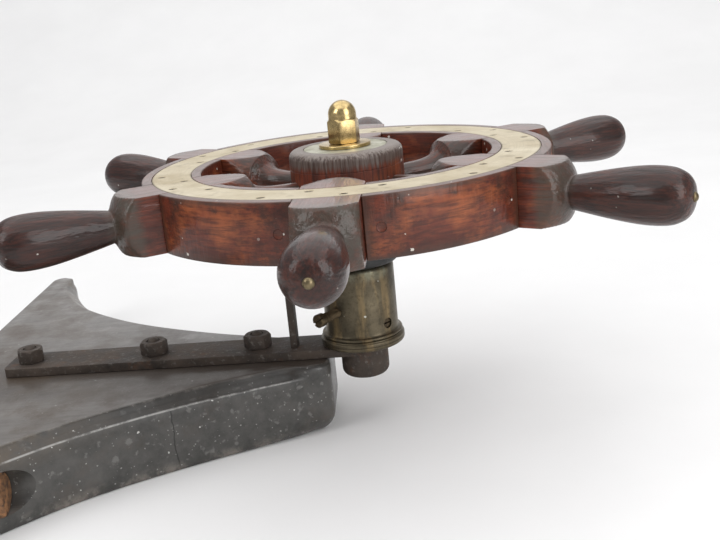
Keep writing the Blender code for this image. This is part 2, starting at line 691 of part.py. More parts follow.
clear_scene()
NUT_TURN = math.radians(-98)
PARTS = make_collection("ship_steering_wheel")
MAHOGANY = make_material("mahogany", (0.16, 0.05, 0.025), 0.3, 0.0)
DARK_WOOD = make_material("dark_wood", (0.05, 0.03, 0.02), 0.5, 0.0)
BARE_WOOD = make_material("bare_wood", (0.30, 0.14, 0.05), 0.7, 0.0)
GREY_PAINT = make_material("grey_paint", (0.09, 0.09, 0.085), 0.6, 0.0)
BLACK_PAINT = make_material("black_paint", (0.02, 0.02, 0.02), 0.5, 0.0)
RUSTY_IRON = make_material("rusty_iron", (0.07, 0.05, 0.035), 0.8, 0.6)
STEEL = make_material("steel", (0.35, 0.35, 0.35), 0.4, 1.0)
BRASS = make_material("brass", (0.60, 0.42, 0.16), 0.25, 1.0)
PALE_BRASS = make_material("pale_brass", (0.75, 0.65, 0.42), 0.4, 1.0)
VERDIGRIS = make_material("verdigris", (0.35, 0.35, 0.25), 0.6, 0.7)
BRONZE = make_material("bronze", (0.20, 0.16, 0.09), 0.45, 0.9)
DARK_BRONZE = make_material("dark_bronze", (0.12, 0.09, 0.05), 0.5, 0.9)

ROOT = add_empty("wheel_side", Matrix.Translation((AXIS_X, 0, 0)))
BOARD_FRAME = add_empty("board_frame", board_place(), ROOT)
make_board(BOARD_FRAME)
make_foot_bolts(BOARD_FRAME)
make_strap(ROOT)
make_strap_bolts(ROOT)
make_line_keeper(ROOT)
make_spindle(ROOT)
make_thrust_washer(ROOT)
make_dome_nut(ROOT)

WHEEL_AXIS = add_empty("wheel_axis", Matrix.Identity(4), ROOT)
make_hub(WHEEL_AXIS)
make_sleeve(WHEEL_AXIS)
make_collar(WHEEL_AXIS)
make_drum(WHEEL_AXIS)
make_drum_screws(WHEEL_AXIS)
make_spokes(WHEEL_AXIS)
make_rim(WHEEL_AXIS)
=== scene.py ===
"""Looks of the small-craft steering wheel: finished surfaces, small trim, floor, light and camera.

Everything is in metres, in the CAD's own frame. AXIS is the wheel's axis. A turned piece's
profile is a list of (radius, height), and it runs down the outer side.
"""
import json
import math

import bmesh
import bpy
from mathutils import Matrix, Vector


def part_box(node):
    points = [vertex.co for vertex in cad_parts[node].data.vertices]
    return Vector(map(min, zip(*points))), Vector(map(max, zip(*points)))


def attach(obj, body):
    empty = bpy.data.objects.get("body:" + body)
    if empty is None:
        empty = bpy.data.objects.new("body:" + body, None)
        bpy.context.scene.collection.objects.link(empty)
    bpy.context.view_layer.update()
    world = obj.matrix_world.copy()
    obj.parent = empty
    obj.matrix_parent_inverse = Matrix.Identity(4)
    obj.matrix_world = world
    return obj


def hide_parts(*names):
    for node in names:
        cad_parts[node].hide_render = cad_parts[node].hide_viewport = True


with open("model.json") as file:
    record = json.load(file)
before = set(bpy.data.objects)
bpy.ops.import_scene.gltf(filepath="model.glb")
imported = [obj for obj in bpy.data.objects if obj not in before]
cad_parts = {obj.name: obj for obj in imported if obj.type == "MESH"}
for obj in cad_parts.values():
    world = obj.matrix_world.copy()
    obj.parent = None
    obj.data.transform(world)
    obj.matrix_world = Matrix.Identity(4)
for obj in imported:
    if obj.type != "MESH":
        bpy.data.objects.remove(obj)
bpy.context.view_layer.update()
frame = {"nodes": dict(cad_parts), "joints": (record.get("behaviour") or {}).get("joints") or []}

GAP = 0.0003                # clearance where two finished pieces meet
MERGE = 0.00001             # points nearer than this become one
ROUND = 128                 # segments round a large turned piece, and a small one
ROUND_SMALL = 48
SPOKES = 6
PITCH = 2 * math.pi / SPOKES
FIRST_SPOKE = math.radians(30)
STRAP_BOLTS = 3


def extent(node):
    """A node's half width across Y, its bottom and its top."""
    low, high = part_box(node)
    return (high.y - low.y) / 2, low.z, high.z


def centre(node):
    low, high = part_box(node)
    return (low + high) / 2


turn = next(joint for joint in frame["joints"] if joint["name"] == "wheel_turn")
AXIS = Vector((turn["pos_m"][0], turn["pos_m"][1], 0.0))

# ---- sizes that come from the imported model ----
RING_OUTER, RING_BOTTOM, RIM_TOP = extent("face_ring")
HUB_R, HUB_BOTTOM, HUB_TOP = extent("hub")
PLATE_R, PLATE_BOTTOM, PLATE_TOP = extent("hub_plate")
DRUM_FLANGE_R, DRUM_BOTTOM, DRUM_TOP = extent("rope_drum")
COLLAR_R, COLLAR_BOTTOM, COLLAR_TOP = extent("drum_collar")
WASHER_R, WASHER_BOTTOM, WASHER_TOP = extent("nut_washer")
_, NUT_BOTTOM, NUT_TOP = extent("dome_nut")
_, RIM_BOTTOM, _ = extent("felloe_1")
SPOKE_Z = (RIM_TOP + RIM_BOTTOM) / 2
RIM_THICK = RIM_TOP - RIM_BOTTOM
RING_THICK = RIM_TOP - RING_BOTTOM
_, BOSS_BOTTOM, STRAP_TOP = extent("strap")
BOARD_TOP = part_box("stand_board")[1].z

# ---- sizes that the boxes don't tell ----
BLOCK_HALF = 0.023          # half the square of the spoke where it crosses the rim
RIM_OUTER = 0.165
RIM_INNER = 0.118
RING_INNER = 0.1258
PELLET_R = 0.0036
DRUM_R = 0.0309
BORE_R = 0.0123             # the hole down the hub, the collar and the drum
STRAP_THICK = 0.0075
STRAP_HALF = 0.020
STRAP_CORNER = 0.006
BOSS_R = 0.0203
SPINDLE_HOLE_R = 0.0083     # in the strap's boss
SPINDLE_THREAD_R = 0.0068   # the hole in the dome nut and its washer
NUT_FLATS = 0.0208          # the strap bolts' nuts and heads, and how far each is turned
NUT_ANGLES = (0.15, 0.42, 0.90)
BOLT_HEAD = 0.0072

# the board, in its own frame under the strap's first bolt
BOARD_TURN = math.radians(3)
BOARD_PIVOT = Vector((-0.092, 0.0, 0.0))
BOARD_OFFSET = 0.002
BOARD_FOOT = -0.372
CHAMFER = 0.0095
FLANK = ((-0.0430, 0.0402), (-0.0600, 0.0460), (-0.0930, 0.0583), (-0.1320, 0.0745),
         (-0.1670, 0.0922), (-0.1980, 0.1100), (-0.2270, 0.1295), (-0.2540, 0.1520),
         (-0.2790, 0.1762), (-0.3005, 0.2022), (-0.3180, 0.2322), (-0.3325, 0.2650),
         (-0.3430, 0.2965), (-0.3500, 0.3090))
NOSE_LENGTH = 0.014         # how far the narrow end goes past the flank's first point
NOSE_ROUND = 0.015
NOSE_UNDER = 0.018          # rounding of the narrow end's bottom edge, and of its top edge
NOSE_OVER = 0.005
EDGE = 0.0022               # rounding of the other edges
CRACK_X = -0.155
POCKET_R = 0.0175           # the foot bolts' pockets, in the flanks
POCKET_Y = 0.164
POCKET_Z = 0.030
POCKET_FLOOR = -0.286
BUNG_LENGTH = 0.019
TOE_HALF = 0.315
TOE_ROUND = 0.011

# the spoke's turned profile from handle tip to hub: distance from the wheel's axis, radius
HANDLE_PROFILE = ((0.2815, 0.0000), (0.2812, 0.0046), (0.2800, 0.0096), (0.2775, 0.0139),
                  (0.2735, 0.0171), (0.2665, 0.0198), (0.2560, 0.0207), (0.2420, 0.0200),
                  (0.2240, 0.0175), (0.2070, 0.0145), (0.1985, 0.0129), (0.1962, 0.0126),
                  (0.1946, 0.0144), (0.1932, 0.0172), (0.1908, 0.0216), (0.1858, 0.0272),
                  (0.1785, 0.0330), (0.1700, 0.0335))
INNER_PROFILE = ((0.1220, 0.0335), (0.1135, 0.0330), (0.1020, 0.0287), (0.0900, 0.0233),
                 (0.0878, 0.0210), (0.0857, 0.0180), (0.0830, 0.0145), (0.0775, 0.0114),
                 (0.0680, 0.0096), (0.0560, 0.0089), (0.0452, 0.0086))


# ---------- node materials ----------

class Nodes:
    """Short calls for building one material's node tree."""

    def __init__(self, name):
        self.material = bpy.data.materials.new(name)
        self.material.use_nodes = True
        self.tree = self.material.node_tree
        self.shader = self.tree.nodes["Principled BSDF"]
        self.coordinates = self.tree.nodes.new("ShaderNodeTexCoord").outputs["Object"]

    def link(self, output, name):
        self.tree.links.new(output, self.shader.inputs[name])

    def finished(self, colour, roughness, normal, **values):
        """The material, with these outputs and plain values on its shader."""
        self.link(colour, "Base Color")
        self.link(roughness, "Roughness")
        self.link(normal, "Normal")
        for name, value in values.items():
            self.shader.inputs[name.replace("_", " ")].default_value = value
        return self.material

    def node(self, kind, inputs, **settings):
        """A node with its settings, and each input a value or another node's output."""
        node = self.tree.nodes.new("ShaderNode" + kind)
        for name, value in settings.items():
            setattr(node, name, value)
        for name, value in inputs.items():
            socket = node.inputs[name]
            if isinstance(value, bpy.types.NodeSocket):
                self.tree.links.new(value, socket)
            else:
                socket.default_value = value
        return node

    def scaled(self, scale, shift=(0.0, 0.0, 0.0)):
        inputs = {"Vector": self.coordinates, "Scale": scale, "Location": shift}
        return self.node("Mapping", inputs).outputs["Vector"]

    def shifted(self, *shift):
        return self.scaled((1.0, 1.0, 1.0), shift)

    def noise(self, vector, scale, detail=4.0, roughness=0.55, distortion=0.0):
        inputs = {"Vector": vector, "Scale": scale, "Detail": detail, "Roughness": roughness,
                  "Distortion": distortion}
        return self.node("TexNoise", inputs).outputs["Fac"]

    def ramp(self, value, low, high, start=0.0, end=1.0):
        """Map value from low..high to start..end, and hold it at the ends."""
        inputs = {"Value": value, "From Min": low, "From Max": high, "To Min": start, "To Max": end}
        return self.node("MapRange", inputs).outputs["Result"]

    def math(self, operation, a, b=0.0):
        return self.node("Math", {0: a, 1: b}, operation=operation).outputs[0]

    def times(self, a, b):
        return self.math("MULTIPLY", a, b)

    def uneven(self, value, noise, reach):
        """The value, moved up and down by noise over this reach."""
        return self.math("ADD", value, self.times(self.math("SUBTRACT", noise, 0.5), reach))

    def mix(self, factor, a, b):
        """Mix two colours: each is another node's output, or its red, green and blue."""
        a, b = ((*colour, 1.0) if isinstance(colour, tuple) else colour for colour in (a, b))
        return self.node("Mix", {0: factor, 6: a, 7: b}, data_type="RGBA").outputs[2]

    def part(self, axis):
        """One of the piece's own coordinates: X, Y or Z."""
        return self.node("SeparateXYZ", {"Vector": self.coordinates}).outputs[axis]

    def specks(self, size, share, reach=0.20):
        """Small ragged spots, 1 inside: cells of this size, of which this share has a spot."""
        cells = self.node("TexVoronoi", {"Vector": self.coordinates, "Scale": 1 / size})
        random = self.node("SeparateColor", {"Color": cells.outputs["Color"]}).outputs
        chosen = self.ramp(random["Red"], share + 0.01, share - 0.01)
        wobble = self.times(self.noise(self.coordinates, 3.5 / size, 3.0), 0.45)
        larger = self.times(random["Green"], 0.16)
        ragged = self.math("SUBTRACT", self.math("ADD", cells.outputs["Distance"], wobble), larger)
        return self.times(chosen, self.ramp(ragged, reach + 0.14, reach + 0.08))

    def upward(self):
        """How far the surface faces up, from -1 to 1."""
        normal = self.node("NewGeometry", {}).outputs["True Normal"]
        return self.node("SeparateXYZ", {"Vector": normal}).outputs["Z"]

    def bump(self, height, distance, strength=1.0, normal=None):
        inputs = {"Height": height, "Distance": distance, "Strength": strength}
        if normal is not None:
            inputs["Normal"] = normal
        return self.node("Bump", inputs).outputs["Normal"]


def grained(m, along):
    """Noise for the wood's pores, its figure and its broad patches, along one axis of the piece."""
    pores = m.noise(m.scaled(along), 480.0, 5.0, 0.70)
    figure = m.noise(m.scaled(along), 95.0, 5.0, 0.62, 0.8)
    broad = m.noise(m.coordinates, 26.0, 4.0, 0.60)
    return pores, figure, broad


def red_wood(m, pores, figure, broad):
    """Mahogany's red brown, with orange patches and near-black pores and stains."""
    colour = m.mix(m.ramp(figure, 0.36, 0.62), RED[0], RED[1])
    colour = m.mix(m.ramp(broad, 0.50, 0.66, 0.0, 0.75), colour, RED[2])
    colour = m.mix(m.ramp(pores, 0.56, 0.40, 0.0, 0.60), colour, (0.030, 0.010, 0.007))
    stains = m.noise(m.shifted(3.1, 1.7, 0.4), 34.0, 5.0, 0.68)
    return m.mix(m.ramp(stains, 0.54, 0.68, 0.0, 0.80), colour, (0.026, 0.014, 0.010))


def varnish(m, colour, grain, shine, ripple, coat=0.35):
    """Old varnish: uneven gloss over open pores. ripple is the depth of its waviness."""
    pores, figure, broad = grain
    waves = m.noise(m.scaled((1.0, 1.0, 0.2)), 290.0, 2.0, 0.5)
    fine = m.bump(pores, 0.0004, 0.6, m.bump(figure, 0.0007, 0.5))
    m.link(m.bump(waves, ripple, 0.5), "Coat Normal")
    return m.finished(colour, m.ramp(broad, 0.3, 0.7, shine, shine + 0.20),
                      m.bump(waves, ripple, 0.6, fine), Coat_Weight=coat, Coat_Roughness=0.14,
                      Specular_IOR_Level=0.22)


def felloe_wood():
    """Red wood, darker along its top and bottom edges and at the joints, with paint spots, and a painted
    reflection of the backdrop on its upward faces.
    """
    m = Nodes("felloe_mahogany")
    pores, figure, broad = grained(m, ALONG_Y)
    colour = red_wood(m, pores, figure, broad)
    height = m.uneven(m.part("Z"), broad, 0.012)
    low_edge = m.ramp(height, RIM_BOTTOM + 0.006, RIM_BOTTOM + 0.001, 0.0, 0.7)
    high_edge = m.ramp(height, RIM_TOP - 0.0030, RIM_TOP - 0.0006, 0.0, 0.55)
    colour = m.mix(m.math("MAXIMUM", low_edge, high_edge), colour, (0.050, 0.030, 0.022))
    across = m.math("ADD", m.math("ABSOLUTE", m.part("Y")), m.times(figure, 0.006))
    joint = m.ramp(across, 0.0555, 0.0625, 0.0, 0.8)
    colour = m.mix(joint, colour, (0.045, 0.020, 0.012))
    # painted reflection: faces that point up are lightened to the backdrop's lavender grey
    painted_reflection = m.times(m.ramp(m.upward(), 0.95, 0.99), m.ramp(figure, 0.30, 0.65, 0.20, 0.50))
    colour = m.mix(painted_reflection, colour, PAINTED_BACKDROP_REFLECTION)
    colour = m.mix(m.specks(0.0052, 0.10), colour, (0.58, 0.54, 0.48))
    return varnish(m, colour, (pores, figure, broad), 0.34, 0.0006)


def pellet_wood():
    m = Nodes("pellet_wood")
    grain = grained(m, ALONG_X)
    colour = m.mix(0.20, red_wood(m, *grain), (0.030, 0.012, 0.008))
    return varnish(m, colour, grain, 0.36, 0.0005)


def hub_wood():
    """Red wood whose top band is worn grey, with fine upright scratches through it, and a painted
    highlight along its top edge.
    """
    m = Nodes("hub_mahogany")
    pores, figure, broad = grained(m, ALONG_Z)
    colour = m.mix(m.ramp(figure, 0.36, 0.62), BROWN[1], RED[1])
    colour = m.mix(m.ramp(broad, 0.52, 0.70, 0.0, 0.35), colour, RED[2])
    colour = m.mix(m.ramp(pores, 0.56, 0.40, 0.0, 0.6), colour, (0.024, 0.010, 0.007))
    scratch = m.noise(m.scaled((1.0, 1.0, 0.05)), 520.0, 3.0, 0.6)
    height = m.uneven(m.part("Z"), scratch, 0.010)
    grey = m.mix(m.ramp(scratch, 0.40, 0.66), (0.050, 0.032, 0.025), (0.150, 0.122, 0.106))
    colour = m.mix(m.ramp(height, HUB_TOP - 0.0135, HUB_TOP - 0.0085, 0.0, 0.9), colour, grey)
    # painted highlight: a lighter grey line along the hub's top edge
    painted_top_highlight = m.ramp(height, HUB_TOP - 0.0040, HUB_TOP - 0.0008, 0.0, 0.45)
    colour = m.mix(painted_top_highlight, colour, (0.34, 0.30, 0.27))
    colour = m.mix(m.specks(0.0050, 0.06), colour, (0.60, 0.56, 0.50))
    scratches = m.bump(scratch, 0.0006, 0.7, m.bump(figure, 0.0006, 0.5))
    return m.finished(colour, m.ramp(scratch, 0.3, 0.7, 0.40, 0.62), scratches,
                      Coat_Weight=0.15, Coat_Roughness=0.25, Specular_IOR_Level=0.35)


def metal(name, dark, bright, patches, roughness, metallic=1.0, pits=0.0004):
    """Aged metal: patches of bright in dark, with fine pits. patches is the noise they lie between."""
    m = Nodes(name)
    broad = m.noise(m.coordinates, 30.0, 5.0, 0.6)
    fine = m.noise(m.coordinates, 270.0, 4.0, 0.6)
    colour = m.mix(m.ramp(broad, *patches), dark, bright)
    colour = m.mix(m.ramp(fine, 0.40, 0.62, 0.40, 0.0), colour, tuple(c * 0.4 for c in dark))
    uneven = m.ramp(broad, 0.3, 0.7, roughness + 0.12, roughness - 0.08)
    return m.finished(colour, uneven, m.bump(fine, pits), Metallic=metallic)


def board_side(m, cloudy, dirt):
    """The board's dark grey sides, with brown dirt and paler blotches."""
    side = m.mix(m.ramp(cloudy, 0.34, 0.68), (0.028, 0.027, 0.024), (0.074, 0.070, 0.064))
    side = m.mix(m.ramp(dirt, 0.55, 0.72, 0.0, 0.5), side, (0.070, 0.050, 0.036))
    blotch = m.ramp(m.noise(m.coordinates, 150.0, 3.0, 0.5), 0.62, 0.70, 0.0, 0.45)
    return m.mix(blotch, side, (0.185, 0.180, 0.170))


def board_top(m, cloudy, dirt, grain):
    """The board's paler, grained top, dirty beside the strap."""
    broad = m.noise(m.coordinates, 11.0, 5.0, 0.62, 0.4)
    top = m.mix(m.ramp(broad, 0.34, 0.64), (0.098, 0.088, 0.080), (0.162, 0.150, 0.140))
    top = m.mix(m.ramp(grain, 0.38, 0.60), m.mix(0.40, top, (0.050, 0.042, 0.036)), top)
    top = m.mix(m.ramp(dirt, 0.47, 0.60, 0.0, 0.80), top, (0.052, 0.037, 0.027))
    near_strap = m.math("ABSOLUTE", m.math("ADD", m.part("Y"), m.times(cloudy, 0.03)))
    return m.mix(m.ramp(near_strap, 0.070, 0.026, 0.0, 0.85), top, (0.040, 0.030, 0.023))


def board_wear(m, colour, cloudy, dirt):
    """Painted shade on the chamfer, its scuffed line worn and lightened as a painted highlight, brown
    and pale edges, a crack, and spots of paint.
    """
    along, height, up = m.part("X"), m.part("Z"), m.upward()
    # painted shade: the chamfer and other sloping faces darkened by how they face the light
    painted_chamfer_shade = m.times(m.ramp(up, 0.30, 0.55), m.ramp(up, 0.90, 0.80))
    colour = m.mix(m.times(painted_chamfer_shade, 0.55), colour, (0.022, 0.020, 0.018))
    brown = m.times(m.ramp(along, -0.190, -0.255), m.ramp(dirt, 0.38, 0.56, 0.0, 0.7))
    brown = m.times(brown, m.ramp(height, BOARD_TOP - 0.024, BOARD_TOP - 0.006))
    brown = m.times(brown, m.ramp(up, 0.99, 0.90, 0.35, 1.0))
    colour = m.mix(brown, colour, (0.090, 0.062, 0.036))
    # the chamfer's worn lower edge, lightened as a painted highlight where it catches the light
    from_edge = m.math("ABSOLUTE", m.math("SUBTRACT", height, BOARD_TOP - CHAMFER))
    line = m.times(m.ramp(from_edge, 0.0009, 0.0003), m.ramp(cloudy, 0.40, 0.54, 0.10, 0.75))
    line = m.times(line, m.ramp(along, -0.050, -0.068))
    line = m.times(line, m.ramp(along, -0.350, -0.335))
    colour = m.mix(line, colour, (0.36, 0.35, 0.33))
    lip = m.times(m.ramp(height, BOARD_TOP - 0.0022, BOARD_TOP - 0.0005), m.ramp(up, 0.97, 0.85))
    lip = m.times(lip, m.ramp(cloudy, 0.50, 0.62, 0.0, 0.55))
    colour = m.mix(lip, colour, (0.24, 0.22, 0.20))
    crack = m.uneven(along, m.noise(m.coordinates, 60.0), 0.006)
    crack = m.math("ABSOLUTE", m.math("SUBTRACT", crack, CRACK_X))
    crack = m.times(m.ramp(crack, 0.0007, 0.0003, 0.0, 0.9), m.ramp(up, 0.30, 0.10))
    colour = m.mix(crack, colour, (0.010, 0.009, 0.008))
    foot = m.times(m.ramp(height, 0.010, 0.002), m.ramp(cloudy, 0.46, 0.60, 0.0, 0.6))
    colour = m.mix(foot, colour, (0.23, 0.20, 0.17))
    mostly_sides = m.ramp(up, 0.90, 0.60, 0.25, 1.0)
    spatter = m.times(m.specks(0.0062, 0.13, 0.13), mostly_sides)
    colour = m.mix(spatter, colour, (0.50, 0.49, 0.46))
    dust = m.times(m.specks(0.0030, 0.22, 0.20), mostly_sides)
    return m.mix(m.times(dust, 0.8), colour, (0.26, 0.255, 0.24))


def board_paint():
    """Grey paint worn thin over wood, browner on top."""
    m = Nodes("board_paint")
    cloudy = m.noise(m.coordinates, 46.0, 6.0, 0.70)
    grain = m.noise(m.scaled(ALONG_X), 120.0, 5.0, 0.65)
    dirt = m.noise(m.shifted(5.0, 2.0, 1.0), 19.0, 5.0, 0.66)
    facing = m.ramp(m.upward(), 0.80, 0.97)
    colour = m.mix(facing, board_side(m, cloudy, dirt), board_top(m, cloudy, dirt, grain))
    dents = m.bump(grain, 0.0004, 0.5, m.bump(cloudy, 0.0009, 0.5))
    return m.finished(board_wear(m, colour, cloudy, dirt), m.ramp(cloudy, 0.3, 0.7, 0.34, 0.60), dents,
                      Coat_Weight=0.45, Coat_Roughness=0.22, Specular_IOR_Level=0.4)


def rust():
    """Rough brown iron, scaled and pitted, with worn darker metal showing through."""
    m = Nodes("rusty_iron")
    broad = m.noise(m.coordinates, 38.0, 6.0, 0.66)
    fine = m.noise(m.coordinates, 260.0, 5.0, 0.65)
    colour = m.mix(m.ramp(broad, 0.34, 0.66), (0.030, 0.024, 0.020), (0.088, 0.066, 0.052))
    orange = m.ramp(m.noise(m.shifted(2.0, 7.0, 1.0), 70.0, 4.0), 0.60, 0.74, 0.0, 0.5)
    colour = m.mix(orange, colour, (0.130, 0.060, 0.032))
    colour = m.mix(m.ramp(fine, 0.56, 0.70, 0.0, 0.55), colour, (0.19, 0.175, 0.16))
    scale = m.bump(fine, 0.0007, 0.8, m.bump(broad, 0.0011, 0.7))
    return m.finished(colour, m.ramp(broad, 0.3, 0.7, 0.50, 0.80), scale, Metallic=0.45)


def pale_ring():
    """Satin brass gone pale, darker at its edges, with circular brush marks."""
    m = Nodes("pale_brass")
    broad = m.noise(m.coordinates, 24.0, 4.0, 0.6)
    from_axis = m.node("VectorMath", {0: m.coordinates, 1: (0.0, 0.0, RIM_TOP)},
                       operation="DISTANCE").outputs["Value"]
    brushed = m.node("CombineXYZ", {"X": from_axis, "Y": m.times(broad, 0.004)})
    rings = m.noise(brushed.outputs["Vector"], 1100.0, 3.0, 0.6)
    colour = m.mix(m.ramp(broad, 0.34, 0.66), (0.46, 0.385, 0.255), (0.66, 0.585, 0.435))
    colour = m.mix(m.ramp(rings, 0.50, 0.35, 0.0, 0.35), colour, (0.30, 0.25, 0.16))
    stain = m.ramp(m.noise(m.shifted(1.0, 4.0, 2.0), 75.0, 5.0), 0.57, 0.72, 0.0, 0.55)
    colour = m.mix(stain, colour, (0.24, 0.19, 0.12))
    outer = m.ramp(from_axis, RING_OUTER - 0.0015, RING_OUTER - 0.0002, 0.0, 0.8)
    inner = m.ramp(from_axis, RING_INNER + 0.0015, RING_INNER + 0.0002, 0.0, 0.8)
    colour = m.mix(m.math("MAXIMUM", outer, inner), colour, (0.10, 0.08, 0.055))
    return m.finished(colour, m.ramp(broad, 0.3, 0.7, 0.58, 0.42), m.bump(rings, 0.00025, 0.35),
                      Metallic=0.30)


def bronze_drum():
    """Olive brown bronze: rubbed gold in patches, green-grey verdigris on the shoulder lightened as a
    painted highlight, turned grooves.
    """
    m = Nodes("bronze_drum")
    broad = m.noise(m.coordinates, 30.0, 5.0, 0.62)
    upright = m.noise(m.scaled((1.0, 1.0, 0.18)), 75.0, 4.0, 0.6)
    fine = m.noise(m.coordinates, 330.0, 4.0, 0.6)
    colour = m.mix(m.ramp(broad, 0.36, 0.66), (0.060, 0.050, 0.034), (0.140, 0.115, 0.074))
    colour = m.mix(m.ramp(upright, 0.54, 0.70, 0.0, 0.75), colour, (0.29, 0.205, 0.10))
    # green-grey verdigris on the shoulder, made pale as a painted highlight where the top catches the
    # light
    shoulder = m.ramp(m.part("Z"), DRUM_TOP - 0.012, DRUM_TOP - 0.003)
    verdigris_and_highlight = m.times(shoulder, m.ramp(broad, 0.42, 0.60))
    colour = m.mix(verdigris_and_highlight, colour, (0.26, 0.27, 0.20))
    colour = m.mix(m.ramp(fine, 0.34, 0.48, 0.35, 0.0), colour, (0.035, 0.028, 0.018))
    colour = m.mix(m.specks(0.0058, 0.10, 0.15), colour, (0.50, 0.50, 0.44))
    turning = m.noise(m.scaled((0.02, 0.02, 1.0)), 700.0, 3.0)
    grooves = m.bump(fine, 0.0003, 0.6, m.bump(turning, 0.0002, 0.4))
    return m.finished(colour, m.ramp(broad, 0.3, 0.7, 0.50, 0.32), grooves, Metallic=0.85)


def plate_patina():
    m = Nodes("hub_plate_patina")
    broad = m.noise(m.coordinates, 55.0, 5.0, 0.65)
    colour = m.mix(m.ramp(broad, 0.35, 0.62), (0.30, 0.29, 0.21), (0.55, 0.54, 0.44))
    spots = m.ramp(m.noise(m.coordinates, 130.0, 4.0), 0.58, 0.70, 0.0, 0.7)
    colour = m.mix(spots, colour, (0.13, 0.12, 0.08))
    pits = m.bump(m.noise(m.coordinates, 400.0, 3.0), 0.0003, 0.5)
    return m.finished(colour, m.ramp(broad, 0.3, 0.7, 0.60, 0.38), pits, Metallic=0.7)


def bare_wood():
    m = Nodes("bare_end_grain")
    rings = m.noise(m.scaled((0.1, 1.0, 1.0)), 190.0, 4.0, 0.7)
    broad = m.noise(m.coordinates, 60.0, 3.0)
    colour = m.mix(m.ramp(rings, 0.38, 0.62), (0.060, 0.030, 0.016), (0.270, 0.130, 0.055))
    colour = m.mix(m.ramp(broad, 0.55, 0.72, 0.0, 0.7), colour, (0.05, 0.032, 0.02))
    return m.finished(colour, m.ramp(rings, 0.3, 0.7, 0.6, 0.85), m.bump(rings, 0.0006, 0.8))


ALONG_X = (0.07, 1.0, 1.0)
ALONG_Y = (1.0, 0.07, 1.0)
ALONG_Z = (1.0, 1.0, 0.07)
RED = ((0.066, 0.013, 0.007), (0.160, 0.034, 0.015), (0.310, 0.086, 0.028))
BROWN = ((0.019, 0.006, 0.004), (0.058, 0.016, 0.010), (0.110, 0.032, 0.017))
# a painted reflection: the backdrop's lavender grey, laid on upward faces of the wheel's wood
PAINTED_BACKDROP_REFLECTION = (0.330, 0.270, 0.255)
FELLOE_WOOD = felloe_wood()
HUB_WOOD = hub_wood()
PLUG_WOOD = pellet_wood()
BOARD = board_paint()
IRON = rust()
RING_BRASS = pale_ring()
DRUM_BRONZE = bronze_drum()
PATINA = plate_patina()
BARE = bare_wood()
BRASS = metal("polished_brass", (0.40, 0.285, 0.125), (0.64, 0.48, 0.23), (0.30, 0.52), 0.22,
              pits=0.00006)
DULL_BRASS = metal("dull_brass", (0.075, 0.056, 0.035), (0.23, 0.17, 0.10), (0.36, 0.62), 0.36,
                   0.95, 0.0003)
SCREW_BRASS = metal("ring_screw_brass", (0.060, 0.046, 0.030), (0.22, 0.17, 0.10), (0.3, 0.7), 0.4, 0.9)
BLACK = metal("black_paint", (0.014, 0.014, 0.014), (0.050, 0.047, 0.044), (0.50, 0.72), 0.42, 0.0)
STEEL = metal("dull_steel", (0.20, 0.19, 0.18), (0.45, 0.44, 0.43), (0.35, 0.65), 0.38)
DARK_BRONZE = metal("bearing_bronze", (0.09, 0.065, 0.035), (0.20, 0.145, 0.075), (0.35, 0.65), 0.45)
BUTTON_BRASS = metal("button_brass", (0.075, 0.058, 0.035), (0.21, 0.165, 0.095), (0.35, 0.6), 0.38, 0.9)


def spoke_wood():
    """Red on the block, dark brown on the handle and neck, olive grime on the turned shoulder, and a
    painted reflection of the backdrop on the block's upward faces.
    """
    m = Nodes("spoke_mahogany")
    pores, figure, broad = grained(m, ALONG_Z)
    out = m.part("Z")
    ragged = m.uneven(out, broad, 0.018)
    red = red_wood(m, pores, figure, broad)
    brown = m.mix(m.ramp(figure, 0.38, 0.62), BROWN[0], BROWN[1])
    brown = m.mix(m.ramp(broad, 0.52, 0.74, 0.0, 0.5), brown, BROWN[2])
    brown = m.mix(m.ramp(pores, 0.56, 0.40, 0.0, 0.7), brown, (0.010, 0.006, 0.005))
    colour = m.mix(m.ramp(ragged, 0.186, 0.196), red, brown)
    grime = m.times(m.ramp(ragged, 0.1735, 0.1800), m.ramp(ragged, 0.203, 0.192))
    grime = m.times(grime, m.ramp(figure, 0.35, 0.60, 0.95, 0.60))
    colour = m.mix(grime, colour, (0.056, 0.045, 0.034))
    neck = m.times(m.ramp(ragged, 0.110, 0.092), m.ramp(figure, 0.62, 0.40, 0.35, 0.9))
    colour = m.mix(neck, colour, (0.040, 0.030, 0.024))
    # painted reflection: the block's faces that point up are lightened to the backdrop's lavender grey
    painted_reflection = m.times(m.ramp(m.upward(), 0.95, 0.99), m.ramp(figure, 0.30, 0.65, 0.25, 0.55))
    painted_reflection = m.times(painted_reflection, m.ramp(out, 0.192, 0.184))
    colour = m.mix(painted_reflection, colour, PAINTED_BACKDROP_REFLECTION)
    colour = m.mix(m.specks(0.0048, 0.018, 0.14), colour, (0.50, 0.47, 0.42))
    return varnish(m, colour, (pores, figure, broad), 0.30, 0.0012, 0.40)


SPOKE_WOOD = spoke_wood()


# ---------- meshes ----------

def placed(name, data):
    """A new object in the scene."""
    thing = bpy.data.objects.new(name, data)
    bpy.context.scene.collection.objects.link(thing)
    return thing


def evaluated_mesh(scratch):
    """The mesh that a scratch object's modifiers or curve give. The object goes."""
    graph = bpy.context.evaluated_depsgraph_get()
    mesh = bpy.data.meshes.new_from_object(scratch.evaluated_get(graph))
    bpy.data.objects.remove(scratch, do_unlink=True)
    return mesh


def welded(mesh):
    cage = bmesh.new()
    cage.from_mesh(mesh)
    bmesh.ops.remove_doubles(cage, verts=cage.verts, dist=MERGE)
    cage.to_mesh(mesh)
    cage.free()
    return mesh


